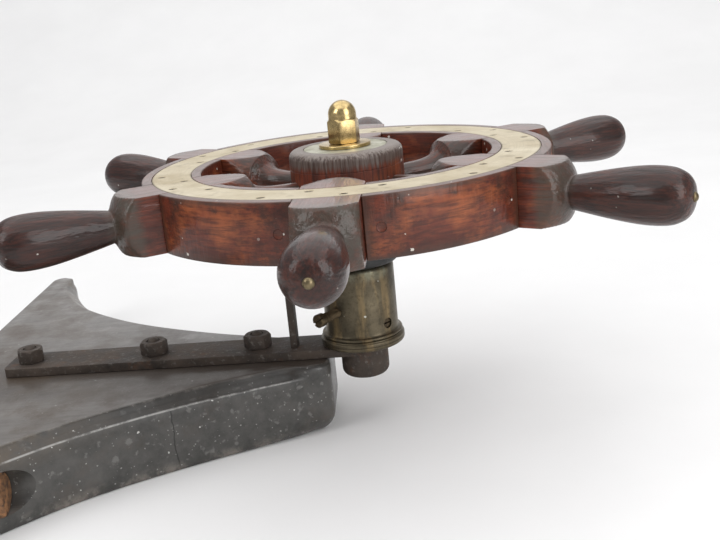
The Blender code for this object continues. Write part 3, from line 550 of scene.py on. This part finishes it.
def turned(profile, steps=ROUND):
    """Turn a profile of (radius, height) about Z. One that ends where it starts has a bore."""
    closed = profile[0] == profile[-1]
    points = profile[:-1] if closed else profile
    edges = [(i, i + 1) for i in range(len(points) - 1)]
    if closed:
        edges.append((len(points) - 1, 0))
    mesh = bpy.data.meshes.new("profile")
    mesh.from_pydata([(radius, 0.0, height) for radius, height in points], edges, [])
    scratch = placed("profile", mesh)
    screw = scratch.modifiers.new("Screw", "SCREW")
    screw.axis = "Z"
    screw.angle = 2 * math.pi
    screw.steps = steps
    screw.render_steps = steps
    screw.use_merge_vertices = True
    screw.merge_threshold = MERGE
    return welded(evaluated_mesh(scratch))


def plate(outline, bottom, top):
    """A flat piece with this outline in plan."""
    curve = bpy.data.curves.new("outline", "CURVE")
    curve.dimensions = "2D"
    curve.fill_mode = "BOTH"
    curve.extrude = (top - bottom) / 2
    spline = curve.splines.new("POLY")
    spline.points.add(len(outline) - 1)
    for point, (x, y) in zip(spline.points, outline):
        point.co = (x, y, 0.0, 1.0)
    spline.use_cyclic_u = True
    mesh = welded(evaluated_mesh(placed("outline", curve)))
    bpy.data.curves.remove(curve)
    return shifted(mesh, (0, 0, (top + bottom) / 2))


def block(size, place):
    cage = bmesh.new()
    bmesh.ops.create_cube(cage, size=1.0)
    bmesh.ops.scale(cage, vec=size, verts=cage.verts)
    bmesh.ops.translate(cage, vec=place, verts=cage.verts)
    mesh = bpy.data.meshes.new("block")
    cage.to_mesh(mesh)
    cage.free()
    return mesh


def stepped(top, *steps, segments=ROUND_SMALL):
    """A round rod that goes down from top in steps: the radius and the bottom of each."""
    profile = [(0.0, top)]
    for radius, bottom in steps:
        profile += [(radius, top), (radius, bottom)]
        top = bottom
    return turned([*profile, (0.0, top)], segments)


def hexagon(flats, bottom, top, angle=0.0):
    corner = flats / math.sqrt(3)
    angles = [angle + side * math.pi / 3 for side in range(6)]
    return plate([(corner * math.cos(a), corner * math.sin(a)) for a in angles], bottom, top)


def shifted(mesh, offset):
    mesh.transform(Matrix.Translation(offset))
    return mesh


def outwards(angle):
    """The turn that lays Z outwards at this angle in plan, with the mesh's Y upright."""
    out = Vector((math.cos(angle), math.sin(angle), 0.0))
    across = Vector((-math.sin(angle), math.cos(angle), 0.0))
    return Matrix((across, (0.0, 0.0, 1.0), out)).transposed().to_4x4()


def laid(mesh, angle, offset=(0, 0, 0)):
    mesh.transform(Matrix.Translation(offset) @ outwards(angle))
    return mesh


def merged(meshes):
    """Separate bodies in one mesh."""
    cage = bmesh.new()
    for mesh in meshes:
        cage.from_mesh(mesh)
    result = bpy.data.meshes.new("merged")
    cage.to_mesh(result)
    cage.free()
    return result


def combined(mesh, tool, operation):
    base = placed("base", mesh)
    cutter = placed("cutter", tool)
    boolean = base.modifiers.new("Boolean", "BOOLEAN")
    boolean.operation = operation
    boolean.solver = "EXACT"
    boolean.object = cutter
    result = evaluated_mesh(base)
    bpy.data.objects.remove(cutter, do_unlink=True)
    return result


def cut(mesh, *tools):
    for tool in tools:
        mesh = combined(mesh, tool, "DIFFERENCE")
    return mesh


def eased(mesh, width, segments=2, angle=35):
    """Round the mesh's sharp edges."""
    scratch = placed("eased", mesh)
    bevel = scratch.modifiers.new("Bevel", "BEVEL")
    bevel.width = width
    bevel.segments = segments
    bevel.limit_method = "ANGLE"
    bevel.angle_limit = math.radians(angle)
    bevel.use_clamp_overlap = True
    return evaluated_mesh(scratch)


def arc(x, y, radius, start, end, count):
    """Points round part of a circle at x, y, between two angles in degrees."""
    angles = [math.radians(start + (end - start) * step / count) for step in range(count + 1)]
    return [(x + radius * math.cos(a), y + radius * math.sin(a)) for a in angles]


def dome(top, radius, end, count):
    """The profile of a round top, from the axis down to the end angle."""
    return [(0.0, top)] + arc(0.0, top - radius, radius, 90, end, count)[1:]


def smoothed(points, spread):
    """The same points with a Catmull-Rom curve's points between them."""
    last = len(points) - 1
    result = []
    for i in range(last):
        a, b, c, d = (points[min(max(k, 0), last)] for k in (i - 1, i, i + 1, i + 2))
        for step in range(spread):
            t = step / spread
            result.append(tuple(
                0.5 * (2 * b[n] + (c[n] - a[n]) * t
                       + (2 * a[n] - 5 * b[n] + 4 * c[n] - d[n]) * t ** 2
                       + (3 * b[n] - a[n] - 3 * c[n] + d[n]) * t ** 3) for n in (0, 1)))
    result.append(points[-1])
    return result


def lofted(sections):
    """A closed body through sections that all have the same number of points."""
    count = len(sections[0])
    points = [point for section in sections for point in section]
    faces = []
    for i in range(len(sections) - 1):
        for k in range(count):
            n = (k + 1) % count
            faces.append((i * count + k, i * count + n, (i + 1) * count + n, (i + 1) * count + k))
    faces.append(tuple(reversed(range(count))))
    faces.append(tuple(range(len(points) - count, len(points))))
    mesh = bpy.data.meshes.new("loft")
    mesh.from_pydata([tuple(p) for p in points], [], faces)
    cage = bmesh.new()
    cage.from_mesh(mesh)
    bmesh.ops.recalc_face_normals(cage, faces=cage.faces)
    cage.to_mesh(mesh)
    cage.free()
    return mesh


# ---------- pieces ----------

def add_piece(name, mesh, material, body, nodes, place=None, smooth=32):
    """One finished piece that stands for CAD nodes and rides on a body. It's on the axis by default."""
    if not mesh.materials:
        mesh.shade_smooth()
        mesh.set_sharp_from_angle(angle=math.radians(smooth))
        mesh.materials.append(material)
    piece = placed(name, mesh)
    piece.matrix_world = about_axis() if place is None else place
    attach(piece, body)
    if nodes:
        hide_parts(*nodes)
    return piece


def about_axis(angle=0.0, z=0.0):
    return Matrix.Translation((AXIS.x, AXIS.y, z)) @ Matrix.Rotation(angle, 4, "Z")


def ring_groove():
    outer, inner, depth = RING_OUTER + GAP, RING_INNER - GAP, RING_THICK + GAP
    corners = [(outer, RIM_TOP + 0.01), (outer, RIM_TOP - depth), (inner, RIM_TOP - depth),
               (inner, RIM_TOP + 0.01), (outer, RIM_TOP + 0.01)]
    return turned(corners, 2 * ROUND)


def spoke_mesh():
    """Turned, then clipped by the rim's square bar, with the clipped corners a little soft."""
    half = RIM_THICK / 2
    corner = math.atan2(half, BLOCK_HALF)
    steps = 10
    crowding = 2.2          # the angles crowd towards the square's corners
    quadrant = [corner * (1 - (1 - i / steps) ** crowding) for i in range(steps)]
    quadrant += [math.pi / 2 - (math.pi / 2 - corner) * (1 - (i / steps) ** crowding)
                 for i in range(steps)]
    angles = quadrant + [math.pi / 2] + [math.pi - a for a in reversed(quadrant)]
    angles += [2 * math.pi - a for a in reversed(angles[1:-1])]
    softness = 220
    sections = []
    for out, radius in smoothed(HANDLE_PROFILE, 4)[1:] + smoothed(INNER_PROFILE, 4):
        section = []
        for angle in angles:
            c, s = math.cos(angle), math.sin(angle)
            spans = (1 / radius, abs(c) / BLOCK_HALF, abs(s) / half)
            largest = max(spans)
            reach = 1 / (largest * sum((k / largest) ** softness for k in spans) ** (1 / softness))
            section.append((reach * c, reach * s, out))
        sections.append(section)
    mesh = lofted(sections)
    groove = ring_groove()
    groove.transform(outwards(0.0).inverted() @ Matrix.Translation((0, 0, -SPOKE_Z)))
    return cut(mesh, groove)


def make_spokes():
    """Each spoke, and the brass button in its handle's tip."""
    mesh = spoke_mesh()
    tip = HANDLE_PROFILE[0][0]
    stud = dome(tip + 0.0021, 0.0043, 32, 6) + [(0.0037, tip - 0.0004), (0.0, tip - 0.0012)]
    button = turned(stud, ROUND_SMALL)
    for number in range(SPOKES):
        place = about_axis(0.0, SPOKE_Z) @ outwards(FIRST_SPOKE + number * PITCH)
        add_piece(f"turned_spoke_{number + 1}", mesh, SPOKE_WOOD, "wheel", [f"spoke_{number + 1}"],
                  place, 28)
        add_piece(f"tip_button_{number + 1}", button, BUTTON_BRASS, "wheel",
                  [f"handle_button_{number + 1}"], place)


def felloe_section(ease, shrink):
    """The rim's section as (radius, z), with the ring's groove in its top."""
    outer, inner = RIM_OUTER - shrink, RIM_INNER + shrink
    top, bottom = RIM_TOP - shrink, RIM_BOTTOM + shrink
    groove = RIM_TOP - RING_THICK - GAP
    points = []
    for r, z, start in ((outer - ease, bottom + ease, -90), (outer - ease, top - ease, 0)):
        points += arc(r, z, ease, start, start + 90, 3)
    points += [(RING_OUTER + GAP, top), (RING_OUTER + GAP, groove), (RING_INNER - GAP, groove),
               (RING_INNER - GAP, top)]
    for r, z, start in ((inner + ease, top - ease, 90), (inner + ease, bottom + ease, 180)):
        points += arc(r, z, ease, start, start + 90, 3)
    return points


def felloe_mesh():
    """The rim's length between two spokes, with square ends beside the spokes' sides."""
    side = BLOCK_HALF + GAP
    steps = 28
    ease = 0.0009
    end = 0.006             # share of the length over which each end is eased
    sections = []
    for t in [0.0, end] + [i / steps for i in range(1, steps)] + [1.0 - end, 1.0]:
        shrink = 0.0005 if t in (0.0, 1.0) else 0.0
        section = []
        for radius, z in felloe_section(ease, shrink):
            start = math.asin(side / radius)
            angle = start + t * (PITCH - 2 * start) - PITCH / 2
            section.append((radius * math.cos(angle), radius * math.sin(angle), z))
        sections.append(section)
    mesh = lofted(sections)
    for angle in pellet_angles():
        hole = stepped(RIM_OUTER + 0.005, (PELLET_R + 0.00006, RIM_OUTER - 0.004))
        mesh = cut(mesh, laid(hole, angle, (0, 0, SPOKE_Z)))
    return mesh


def pellet_angles():
    """Where a felloe's two pellets are, counted from its middle."""
    first = centre("felloe_plug_1") - AXIS
    from_spoke = math.atan2(first.y, first.x) - FIRST_SPOKE
    return from_spoke - PITCH / 2, PITCH / 2 - from_spoke


def pellet_mesh():
    """A low dished face, just below the rim's outside."""
    back = RIM_OUTER - 0.0036
    dished = [(0.0, RIM_OUTER - 0.0007), (0.0022, RIM_OUTER - 0.0006), (0.0034, RIM_OUTER - 0.0003),
              (PELLET_R, RIM_OUTER - 0.0010), (PELLET_R, back), (0.0, back)]
    return turned(dished, ROUND_SMALL)


def make_rim():
    """Each felloe, and the two pellets in its outside."""
    felloe = felloe_mesh()
    pellet = pellet_mesh()
    for number in range(SPOKES):
        middle = FIRST_SPOKE + (number + 0.5) * PITCH
        add_piece(f"rim_felloe_{number + 1}", felloe, FELLOE_WOOD, "wheel", [f"felloe_{number + 1}"],
                  about_axis(middle))
        for end, angle in enumerate(pellet_angles(), start=1):
            plug = 2 * number + end
            place = about_axis(0.0, SPOKE_Z) @ outwards(middle + angle)
            add_piece(f"wood_pellet_{plug}", pellet, PLUG_WOOD, "wheel", [f"felloe_plug_{plug}"],
                      place)


def screw_places():
    """Two staggered rows of screws: radius and angle in degrees past each spoke."""
    rows = ((0.1495, -18.5), (0.1495, 4.0), (0.1335, -6.5), (0.1335, 15.5))
    return [(radius, FIRST_SPOKE + number * PITCH + math.radians(angle))
            for number in range(SPOKES) for radius, angle in rows]


def make_ring():
    """The flat ring, countersunk for its screws."""
    ease = 0.0004
    top = RIM_TOP
    profile = [(RING_OUTER - ease, top), (RING_OUTER, top - ease), (RING_OUTER, RING_BOTTOM),
               (RING_INNER, RING_BOTTOM), (RING_INNER, top - ease), (RING_INNER + ease, top),
               (RING_OUTER - ease, top)]
    sink = [(0.0, top + 0.001), (0.0036, top + 0.001), (0.0036, top), (0.0018, top - 0.0018),
            (0.0, top - 0.0018)]
    sinks = []
    for radius, angle in screw_places():
        place = (radius * math.cos(angle), radius * math.sin(angle), 0)
        sinks.append(shifted(turned(sink, 32), place))
    ring = cut(turned(profile, 2 * ROUND), merged(sinks))
    add_piece("brass_face_ring", ring, RING_BRASS, "wheel", ["face_ring"])


def make_ring_screws():
    """Countersunk heads with a slot, each turned its own way."""
    head = [(0.0, -0.00025), (0.0028, -0.0003), (0.0032, -0.0005), (0.0018, -0.0017), (0.0, -0.0017)]
    slot = block((0.008, 0.0009, 0.0008), (0, 0, -0.0003))
    screw = cut(turned(head, 32), slot)
    for number, (radius, angle) in enumerate(screw_places(), start=1):
        spot = AXIS + Vector((radius * math.cos(angle), radius * math.sin(angle), RIM_TOP))
        place = Matrix.Translation(spot) @ Matrix.Rotation(2.4 * number, 4, "Z")
        add_piece(f"ring_screw_{number}", screw, SCREW_BRASS, "wheel", [], place)


def make_hub():
    """A turned block with the plate's seat in its top and a scored line below the top's rounding."""
    seat = PLATE_BOTTOM - GAP
    top, bottom = HUB_TOP, HUB_BOTTOM
    profile = [(BORE_R, seat), (PLATE_R + GAP, seat), (PLATE_R + GAP, top), (PLATE_R + 0.0015, top)]
    profile += arc(HUB_R - 0.006, top - 0.006, 0.006, 90, 0, 10)
    profile += [(HUB_R, top - 0.0140), (HUB_R - 0.0004, top - 0.0144), (HUB_R, top - 0.0148)]
    profile += arc(HUB_R - 0.004, bottom + 0.004, 0.004, 0, -90, 8)
    profile += [(BORE_R, bottom), (BORE_R, seat)]
    add_piece("turned_hub", turned(profile), HUB_WOOD, "wheel", ["hub"])


def make_hub_plate():
    ease = 0.0005
    inner = 0.0088
    profile = [(PLATE_R - ease, PLATE_TOP), (PLATE_R, PLATE_TOP - ease), (PLATE_R, PLATE_BOTTOM),
               (inner, PLATE_BOTTOM), (inner, PLATE_TOP), (PLATE_R - ease, PLATE_TOP)]
    add_piece("turned_hub_plate", turned(profile), PATINA, "wheel", ["hub_plate"])


def make_collar():
    """A round collar with a narrow groove, rounded at its bottom."""
    radius, bottom, top = COLLAR_R, COLLAR_BOTTOM, COLLAR_TOP
    profile = [(BORE_R, top), (radius - 0.0004, top), (radius, top - 0.0004)]
    profile += [(radius, top - 0.0085), (radius - 0.0011, top - 0.0093),
                (radius - 0.0011, top - 0.0103), (radius - 0.0003, top - 0.0111)]
    profile += arc(radius - 0.0053, bottom + 0.005, 0.005, 0, -90, 8)
    profile += [(BORE_R, bottom), (BORE_R, top)]
    add_piece("turned_collar", turned(profile), BLACK, "wheel", ["drum_collar"])


def radial_place(node):
    """A sideways screw's angle round the axis, and its height."""
    place = centre(node) - AXIS
    return math.atan2(place.y, place.x), place.z


def make_drum():
    """A plain barrel that widens in beads to a flange, with a hole for each of its screws."""
    barrel, flange, recess = DRUM_R, DRUM_FLANGE_R, 0.0245
    base, top = DRUM_BOTTOM, DRUM_TOP
    profile = [(BORE_R, top)] + arc(barrel - 0.005, top - 0.005, 0.005, 90, 0, 10)
    profile += [(barrel, base + 0.0134), (barrel + 0.0003, base + 0.0124),
                (barrel + 0.0010, base + 0.0115)]
    profile += arc(barrel + 0.0019, base + 0.0098, 0.0015, 80, -50, 8)
    profile += [(barrel + 0.0026, base + 0.0084), (barrel + 0.0034, base + 0.0081)]
    profile += arc(flange - 0.0022, base + 0.0056, 0.0022, 62, 0, 5)
    profile += [(flange, base + 0.0044), (flange - 0.0004, base + 0.0041),
                (flange, base + 0.0038)]
    profile += arc(flange - 0.0026, base + 0.0026, 0.0026, 0, -90, 6)
    profile += [(recess, base), (recess, base + 0.0025), (BORE_R, base + 0.0025), (BORE_R, top)]
    holes = []
    for node, radius in (("anchor_screw", 0.0046), ("grub_screw", 0.0045)):
        angle, height = radial_place(node)
        holes.append(laid(stepped(0.040, (radius, 0.011)), angle, (0, 0, height)))
    add_piece("turned_drum", cut(turned(profile), *holes), DRUM_BRONZE, "wheel", ["rope_drum"])


def make_anchor_screw():
    """A slotted screw standing out of the drum, with its thread showing under the head."""
    crest, root = 0.0042, 0.0036
    inner, neck, outer, head = 0.0135, 0.0485, 0.0550, 0.0056
    pitch = 0.0013
    profile = [(0.0, outer), (head - 0.0008, outer), (head, outer - 0.0008), (head, neck + 0.0004),
               (head - 0.0004, neck), (root, neck)]
    for number in range(int((neck - inner) / pitch)):
        z = neck - number * pitch
        profile += [(root, z - 0.1 * pitch), (crest, z - 0.45 * pitch), (crest, z - 0.55 * pitch),
                    (root, z - 0.9 * pitch)]
    profile += [(root, inner), (0.0, inner)]
    slot = block((0.014, 0.0016, 0.0046), (0, 0, outer))
    slot.transform(Matrix.Rotation(math.radians(35), 4, "Z"))
    screw = cut(turned(profile, ROUND_SMALL), slot)
    angle, height = radial_place("anchor_screw")
    add_piece("threaded_anchor_screw", screw, DULL_BRASS, "wheel", ["anchor_screw"],
              about_axis(0.0, height) @ outwards(angle))


def nut_mesh(flats, hole, bottom, top, angle, crown=()):
    """A hexagon nut with its corners turned off at the top, closed by a crown where one is given."""
    corner = flats / math.sqrt(3) + 0.0001
    outside = crown or [(hole, top)]
    inside = [(hole, top + 0.0015), (0.0, top + 0.0030)] if crown else [(hole, top)]
    profile = [*outside, (flats / 2 - 0.0003, top), (corner, top - 0.0018), (corner, bottom + 0.0007),
               (corner - 0.0012, bottom), (hole, bottom), *inside]
    tool = hexagon(flats, bottom - 0.001, top + 0.05, angle)
    return eased(combined(turned(profile, 96), tool, "INTERSECT"), 0.00035, 2, 30)


def make_dome_nut():
    flats, radius = 0.0230, 0.0114
    hex_top = NUT_BOTTOM + 0.019
    crown = dome(NUT_TOP, radius, 0, 16) + [(radius, hex_top + 0.0004), (radius + 0.0003, hex_top)]
    mesh = nut_mesh(flats, SPINDLE_THREAD_R, NUT_BOTTOM, hex_top, math.radians(-98), crown)
    add_piece("brass_dome_nut", mesh, BRASS, "stand", ["dome_nut"])


def make_nut_washer():
    hole, edge = SPINDLE_THREAD_R, 0.0009
    profile = [(hole, WASHER_TOP), *arc(WASHER_R - edge, WASHER_TOP - edge, edge, 90, 0, 6),
               (WASHER_R - 0.0003, WASHER_BOTTOM), (hole, WASHER_BOTTOM), (hole, WASHER_TOP)]
    add_piece("brass_nut_washer", turned(profile), BRASS, "stand", ["nut_washer"])


def bolt_mesh(bottom, top, angle):
    """A hexagon head below and a shank with a worn round end."""
    radius = 0.0055
    inside = bottom + 0.005
    shank = dome(top, radius, 34, 6) + [(radius - 0.0005, top - 0.0032), (radius, top - 0.0040),
                                        (radius, inside), (0.0, inside)]
    head = hexagon(NUT_FLATS, bottom, bottom + BOLT_HEAD, angle)
    return combined(eased(head, 0.0005), turned(shank, ROUND_SMALL), "UNION")


def make_strap_bolts():
    """Each bolt through the strap and the board, and its nut."""
    for number, angle in enumerate(NUT_ANGLES, start=1):
        bolt, nut = f"strap_bolt_{number}", f"strap_nut_{number}"
        place = Matrix.Translation((*centre(bolt).xy, 0))
        mesh = nut_mesh(NUT_FLATS, 0.0058, *extent(nut)[1:], angle)
        add_piece(f"rusty_nut_{number}", mesh, IRON, "stand", [nut], place)
        mesh = bolt_mesh(*extent(bolt)[1:], angle)
        add_piece(f"rusty_bolt_{number}", mesh, IRON, "stand", [bolt], place)


def make_strap():
    """The flat bar and its boss, with eased edges and the spindle's hole."""
    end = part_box("strap")[0].x - AXIS.x
    left = arc(end + STRAP_CORNER, STRAP_CORNER - STRAP_HALF, STRAP_CORNER, 270, 180, 9)
    outline = [(0.0, -STRAP_HALF), *left, *((x, -y) for x, y in reversed(left)), (0.0, STRAP_HALF)]
    bar = plate(outline, STRAP_TOP - STRAP_THICK, STRAP_TOP - GAP)
    profile = [(0.0, STRAP_TOP), (BOSS_R, STRAP_TOP)]
    profile += arc(BOSS_R - 0.006, BOSS_BOTTOM + 0.006, 0.006, 0, -90, 8)
    profile += [(0.0, BOSS_BOTTOM)]
    strap = combined(bar, turned(profile, 96), "UNION")
    above, below = 0.1, BOSS_BOTTOM - 0.001
    hole = turned([(0.0, above), (SPINDLE_HOLE_R, above), (SPINDLE_HOLE_R, BOSS_BOTTOM + 0.004),
                   (SPINDLE_HOLE_R + 0.005, below), (0.0, below)], 64)
    add_piece("iron_strap", eased(cut(strap, hole), 0.0009, 3), IRON, "stand", ["strap"])


def make_keeper():
    """An upright bar on the strap, with a round top."""
    low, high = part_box("line_keeper")
    thick = high.x - low.x
    half = (high.y - low.y) / 2
    outline = [(-half, STRAP_TOP), (half, STRAP_TOP), *arc(0.0, high.z - half, half, 0, 180, 24)]
    bar = eased(plate(outline, -thick / 2, thick / 2), 0.0008, 3)
    stand_up = Matrix(((0, 0, 1, 0), (1, 0, 0, 0), (0, 1, 0, 0), (0, 0, 0, 1)))
    bar.transform(stand_up)
    place = Matrix.Translation((*centre("line_keeper").xy, 0))
    add_piece("iron_line_keeper", bar, IRON, "stand", ["line_keeper"], place)


# ---------- the stand board ----------

def board_place():
    pivot = Matrix.Translation(AXIS + BOARD_PIVOT)
    back = Matrix.Translation(-BOARD_PIVOT + Vector((0, BOARD_OFFSET, 0)))
    return pivot @ Matrix.Rotation(BOARD_TURN, 4, "Z") @ back


def board_half():
    """Half outline from the narrow end to the foot: x, y, share of chamfer, nearness to the nose."""
    end = FLANK[0][0] + NOSE_LENGTH
    nose = (end - NOSE_ROUND, FLANK[0][1] - NOSE_ROUND)
    toe = (BOARD_FOOT + TOE_ROUND, TOE_HALF - TOE_ROUND)
    points = [(end, nose[1] * i / 4, 0.0, 1.0) for i in range(4)]
    points += [(x, y, 0.0, 1.0) for x, y in arc(*nose, NOSE_ROUND, 0, 72, 12)]
    flank = smoothed(FLANK, 6)[1:]
    chamfer_starts, chamfer_ends, nose_ends = 7, 12, 22      # points over which each changes
    for number, (x, y) in enumerate(flank):
        share = min(1.0, number / chamfer_starts, (len(flank) - 1 - number) / chamfer_ends)
        nearness = max(0.0, 1.0 - number / nose_ends)
        points.append((x, y, share * share * (3 - 2 * share), nearness * nearness))
    points += [(x, y, 0.0, 0.0) for x, y in arc(*toe, TOE_ROUND, 80, 180, 10)]
    return points


def quarter(depth, radius):
    """How far a rounded edge of this radius is drawn in, this far below or above its end."""
    return radius - math.sqrt(radius ** 2 - (radius - depth) ** 2) if depth < radius else 0.0


def board_level(points, z, chamfer):
    """The outline at height z: edges rounded all round, and drawn in by chamfer on the flanks."""
    count = len(points)
    level = []
    for i, (x, y, share, nearness) in enumerate(points):
        before, after = points[i - 1], points[(i + 1) % count]
        along = Vector((after[0] - before[0], after[1] - before[1])).normalized()
        under = quarter(z, EDGE + (NOSE_UNDER - EDGE) * nearness)
        over = quarter(BOARD_TOP - z, EDGE + (NOSE_OVER - EDGE) * nearness)
        amount = under + over + chamfer * share
        level.append((x - along.y * amount, y + along.x * amount, z))
    return level


def board_mesh():
    """The board's body as levels of its outline."""
    half = board_half()
    points = half + [(x, -y, share, near) for x, y, share, near in reversed(half[1:])]
    shoulder = BOARD_TOP - CHAMFER
    under = [0.0, 0.0003, 0.0010, 0.0022, 0.0038, 0.0060, 0.0085, 0.0115, 0.0145, 0.0180]
    wall = shoulder - 0.0010 - under[-1]
    levels = [(z, 0.0) for z in under]
    levels += [(under[-1] + wall * i / 6, 0.0) for i in range(1, 7)]
    levels += [(shoulder, 0.0004), (shoulder + 0.0012, 0.0014)]
    levels += [(BOARD_TOP - depth, CHAMFER + 0.0008 - depth * 0.93)
               for depth in (0.0060, 0.0042, 0.0028, 0.0018, 0.0010, 0.0004, 0.0)]
    sections = [board_level(points, z, chamfer) for z, chamfer in levels]
    return lofted([list(reversed(section)) for section in sections])


def make_board():
    """The board, with holes for the strap's bolts and pockets for the foot's."""
    board = board_mesh()
    inverse = board_place().inverted()
    for number in range(1, STRAP_BOLTS + 1):
        place = inverse @ Vector((*centre(f"strap_bolt_{number}").xy, 0.0))
        board = cut(board, shifted(stepped(0.08, (0.0058, 0.009), (0.0145, -0.01)), place))
    for side in (-1, 1):
        hole = stepped(POCKET_FLOOR + 0.076, (POCKET_R, POCKET_FLOOR), (0.0118, POCKET_FLOOR - 0.0086),
                       (0.0063, BOARD_FOOT - 0.01), segments=64)
        board = cut(board, laid(hole, 0.0, (0, side * POCKET_Y, POCKET_Z)))
    add_piece("painted_stand_board", board, BOARD, "stand", ["stand_board"],
              board_place(), 30)


def flank_cutter(side):
    """What lies outside the flank beside a pocket, counted from the pocket's middle."""
    near, beyond = Vector(FLANK[7]), Vector(FLANK[8])
    far = near + 2 * (beyond - near)
    corners = [near, far, Vector((near.x, far.y))]
    return plate([(corner.x, side * (corner.y - POCKET_Y)) for corner in corners], -0.02, 0.02)


def make_bungs():
    """End-grain bungs cut off flush with the flank, each with a low dished face."""
    radius, back = POCKET_R - GAP, POCKET_FLOOR + GAP
    front = back + BUNG_LENGTH
    profile = [(0.0, front - 0.0010), (radius * 0.5, front - 0.0006),
               (radius * 0.85, front - 0.0001), (radius * 0.96, front), (radius, front - 0.0008),
               (radius, back), (0.0, back)]
    for number, side in enumerate((-1, 1), start=1):
        mesh = cut(laid(turned(profile, 64), 0.0), flank_cutter(side))
        place = board_place() @ Matrix.Translation((0, side * POCKET_Y, POCKET_Z))
        add_piece(f"wood_bung_{number}", eased(mesh, 0.0004), BARE, "stand", [f"foot_plug_{number}"],
                  place)


def paint_kept_nodes():
    """The CAD nodes that stay get their finished materials."""
    finishes = {"spindle": STEEL, "thrust_washer": DARK_BRONZE, "bearing_sleeve": DARK_BRONZE,
                "grub_screw": DULL_BRASS, "foot_bolt_1": IRON, "foot_bolt_2": IRON}
    for node, material in finishes.items():
        kept = frame["nodes"][node]
        kept.data.materials.clear()
        kept.data.materials.append(material)


# ---------- camera, light and floor ----------

def make_camera():
    """Just above the wheel's plane, close, and a few degrees off level."""
    place = Vector((AXIS.x + 0.0790, -0.8047, 0.3624))
    forward = Vector((-0.09098, 0.95778, -0.27273)).normalized()
    roll = math.radians(-5.45)
    level = forward.cross(Vector((0, 0, 1))).normalized()
    right = Matrix.Rotation(roll, 3, -forward) @ level
    up = right.cross(forward)
    data = bpy.data.cameras.new("camera")
    data.lens = 49.85
    data.sensor_width = 36
    data.clip_start = 0.02
    camera = placed("camera", data)
    camera.matrix_world = Matrix.Translation(place) @ Matrix((right, up, -forward)).transposed().to_4x4()
    bpy.context.scene.camera = camera


def softbox(name, place, aim, size, power):
    data = bpy.data.lights.new(name, "AREA")
    data.shape = "RECTANGLE"
    data.size, data.size_y = size
    data.energy = power
    light = placed(name, data)
    light.location = place
    light.rotation_euler = (Vector(aim) - Vector(place)).to_track_quat("-Z", "Y").to_euler()


def make_lights():
    target = (AXIS.x, 0.0, 0.15)
    softbox("softbox_right", (AXIS.x + 1.25, -1.25, 0.85), target, (1.1, 1.5), 19)
    softbox("softbox_left", (AXIS.x - 1.35, -1.05, 1.15), target, (0.8, 1.0), 9)
    softbox("softbox_top", (AXIS.x, 0.5, 3.2), (AXIS.x, 0.5, 0.0), (5.5, 5.5), 122)
    world = bpy.data.worlds.new("studio")
    world.use_nodes = True
    nodes, links = world.node_tree.nodes, world.node_tree.links
    room = nodes["Background"]
    room.inputs["Color"].default_value = (0.96, 0.97, 1.0, 1.0)
    room.inputs["Strength"].default_value = 0.42
    backdrop = nodes.new("ShaderNodeBackground")
    backdrop.inputs["Color"].default_value = (0.92, 0.92, 0.92, 1.0)
    mix = nodes.new("ShaderNodeMixShader")
    links.new(nodes.new("ShaderNodeLightPath").outputs["Is Camera Ray"], mix.inputs[0])
    links.new(room.outputs[0], mix.inputs[1])
    links.new(backdrop.outputs[0], mix.inputs[2])
    links.new(mix.outputs[0], nodes["World Output"].inputs["Surface"])
    bpy.context.scene.world = world


def make_floor():
    """A pale sweep: flat under the object, and curving up behind it."""
    front, reach, bend, height, half = -5.0, 3.2, 1.6, 4.0, 1.9
    line = [(front, 0.0), *arc(reach - bend, bend, bend, -90, 0, 16), (reach, height)]
    points = [(x, y, z) for x in (-half, half) for y, z in line]
    count = len(line)
    faces = [(i, i + count, i + 1 + count, i + 1) for i in range(count - 1)]
    mesh = bpy.data.meshes.new("sweep")
    mesh.from_pydata(points, [], faces)
    mesh.shade_smooth()
    m = Nodes("sweep_paper")
    cloudy = m.noise(m.coordinates, 6.0, 3.0)
    m.link(m.mix(m.ramp(cloudy, 0.3, 0.7), (0.80, 0.795, 0.79), (0.83, 0.825, 0.82)), "Base Color")
    m.shader.inputs["Roughness"].default_value = 0.75
    mesh.materials.append(m.material)
    floor = placed("sweep", mesh)
    just_below = -0.0002
    floor.location = (AXIS.x, 0.0, just_below)


make_camera()
make_lights()
make_floor()
make_spokes()
make_rim()
make_ring()
make_ring_screws()
make_hub()
make_hub_plate()
make_collar()
make_drum()
make_anchor_screw()
make_dome_nut()
make_nut_washer()
make_strap()
make_strap_bolts()
make_keeper()
make_board()
make_bungs()
paint_kept_nodes()
bpy.context.scene.view_settings.view_transform = "Standard"
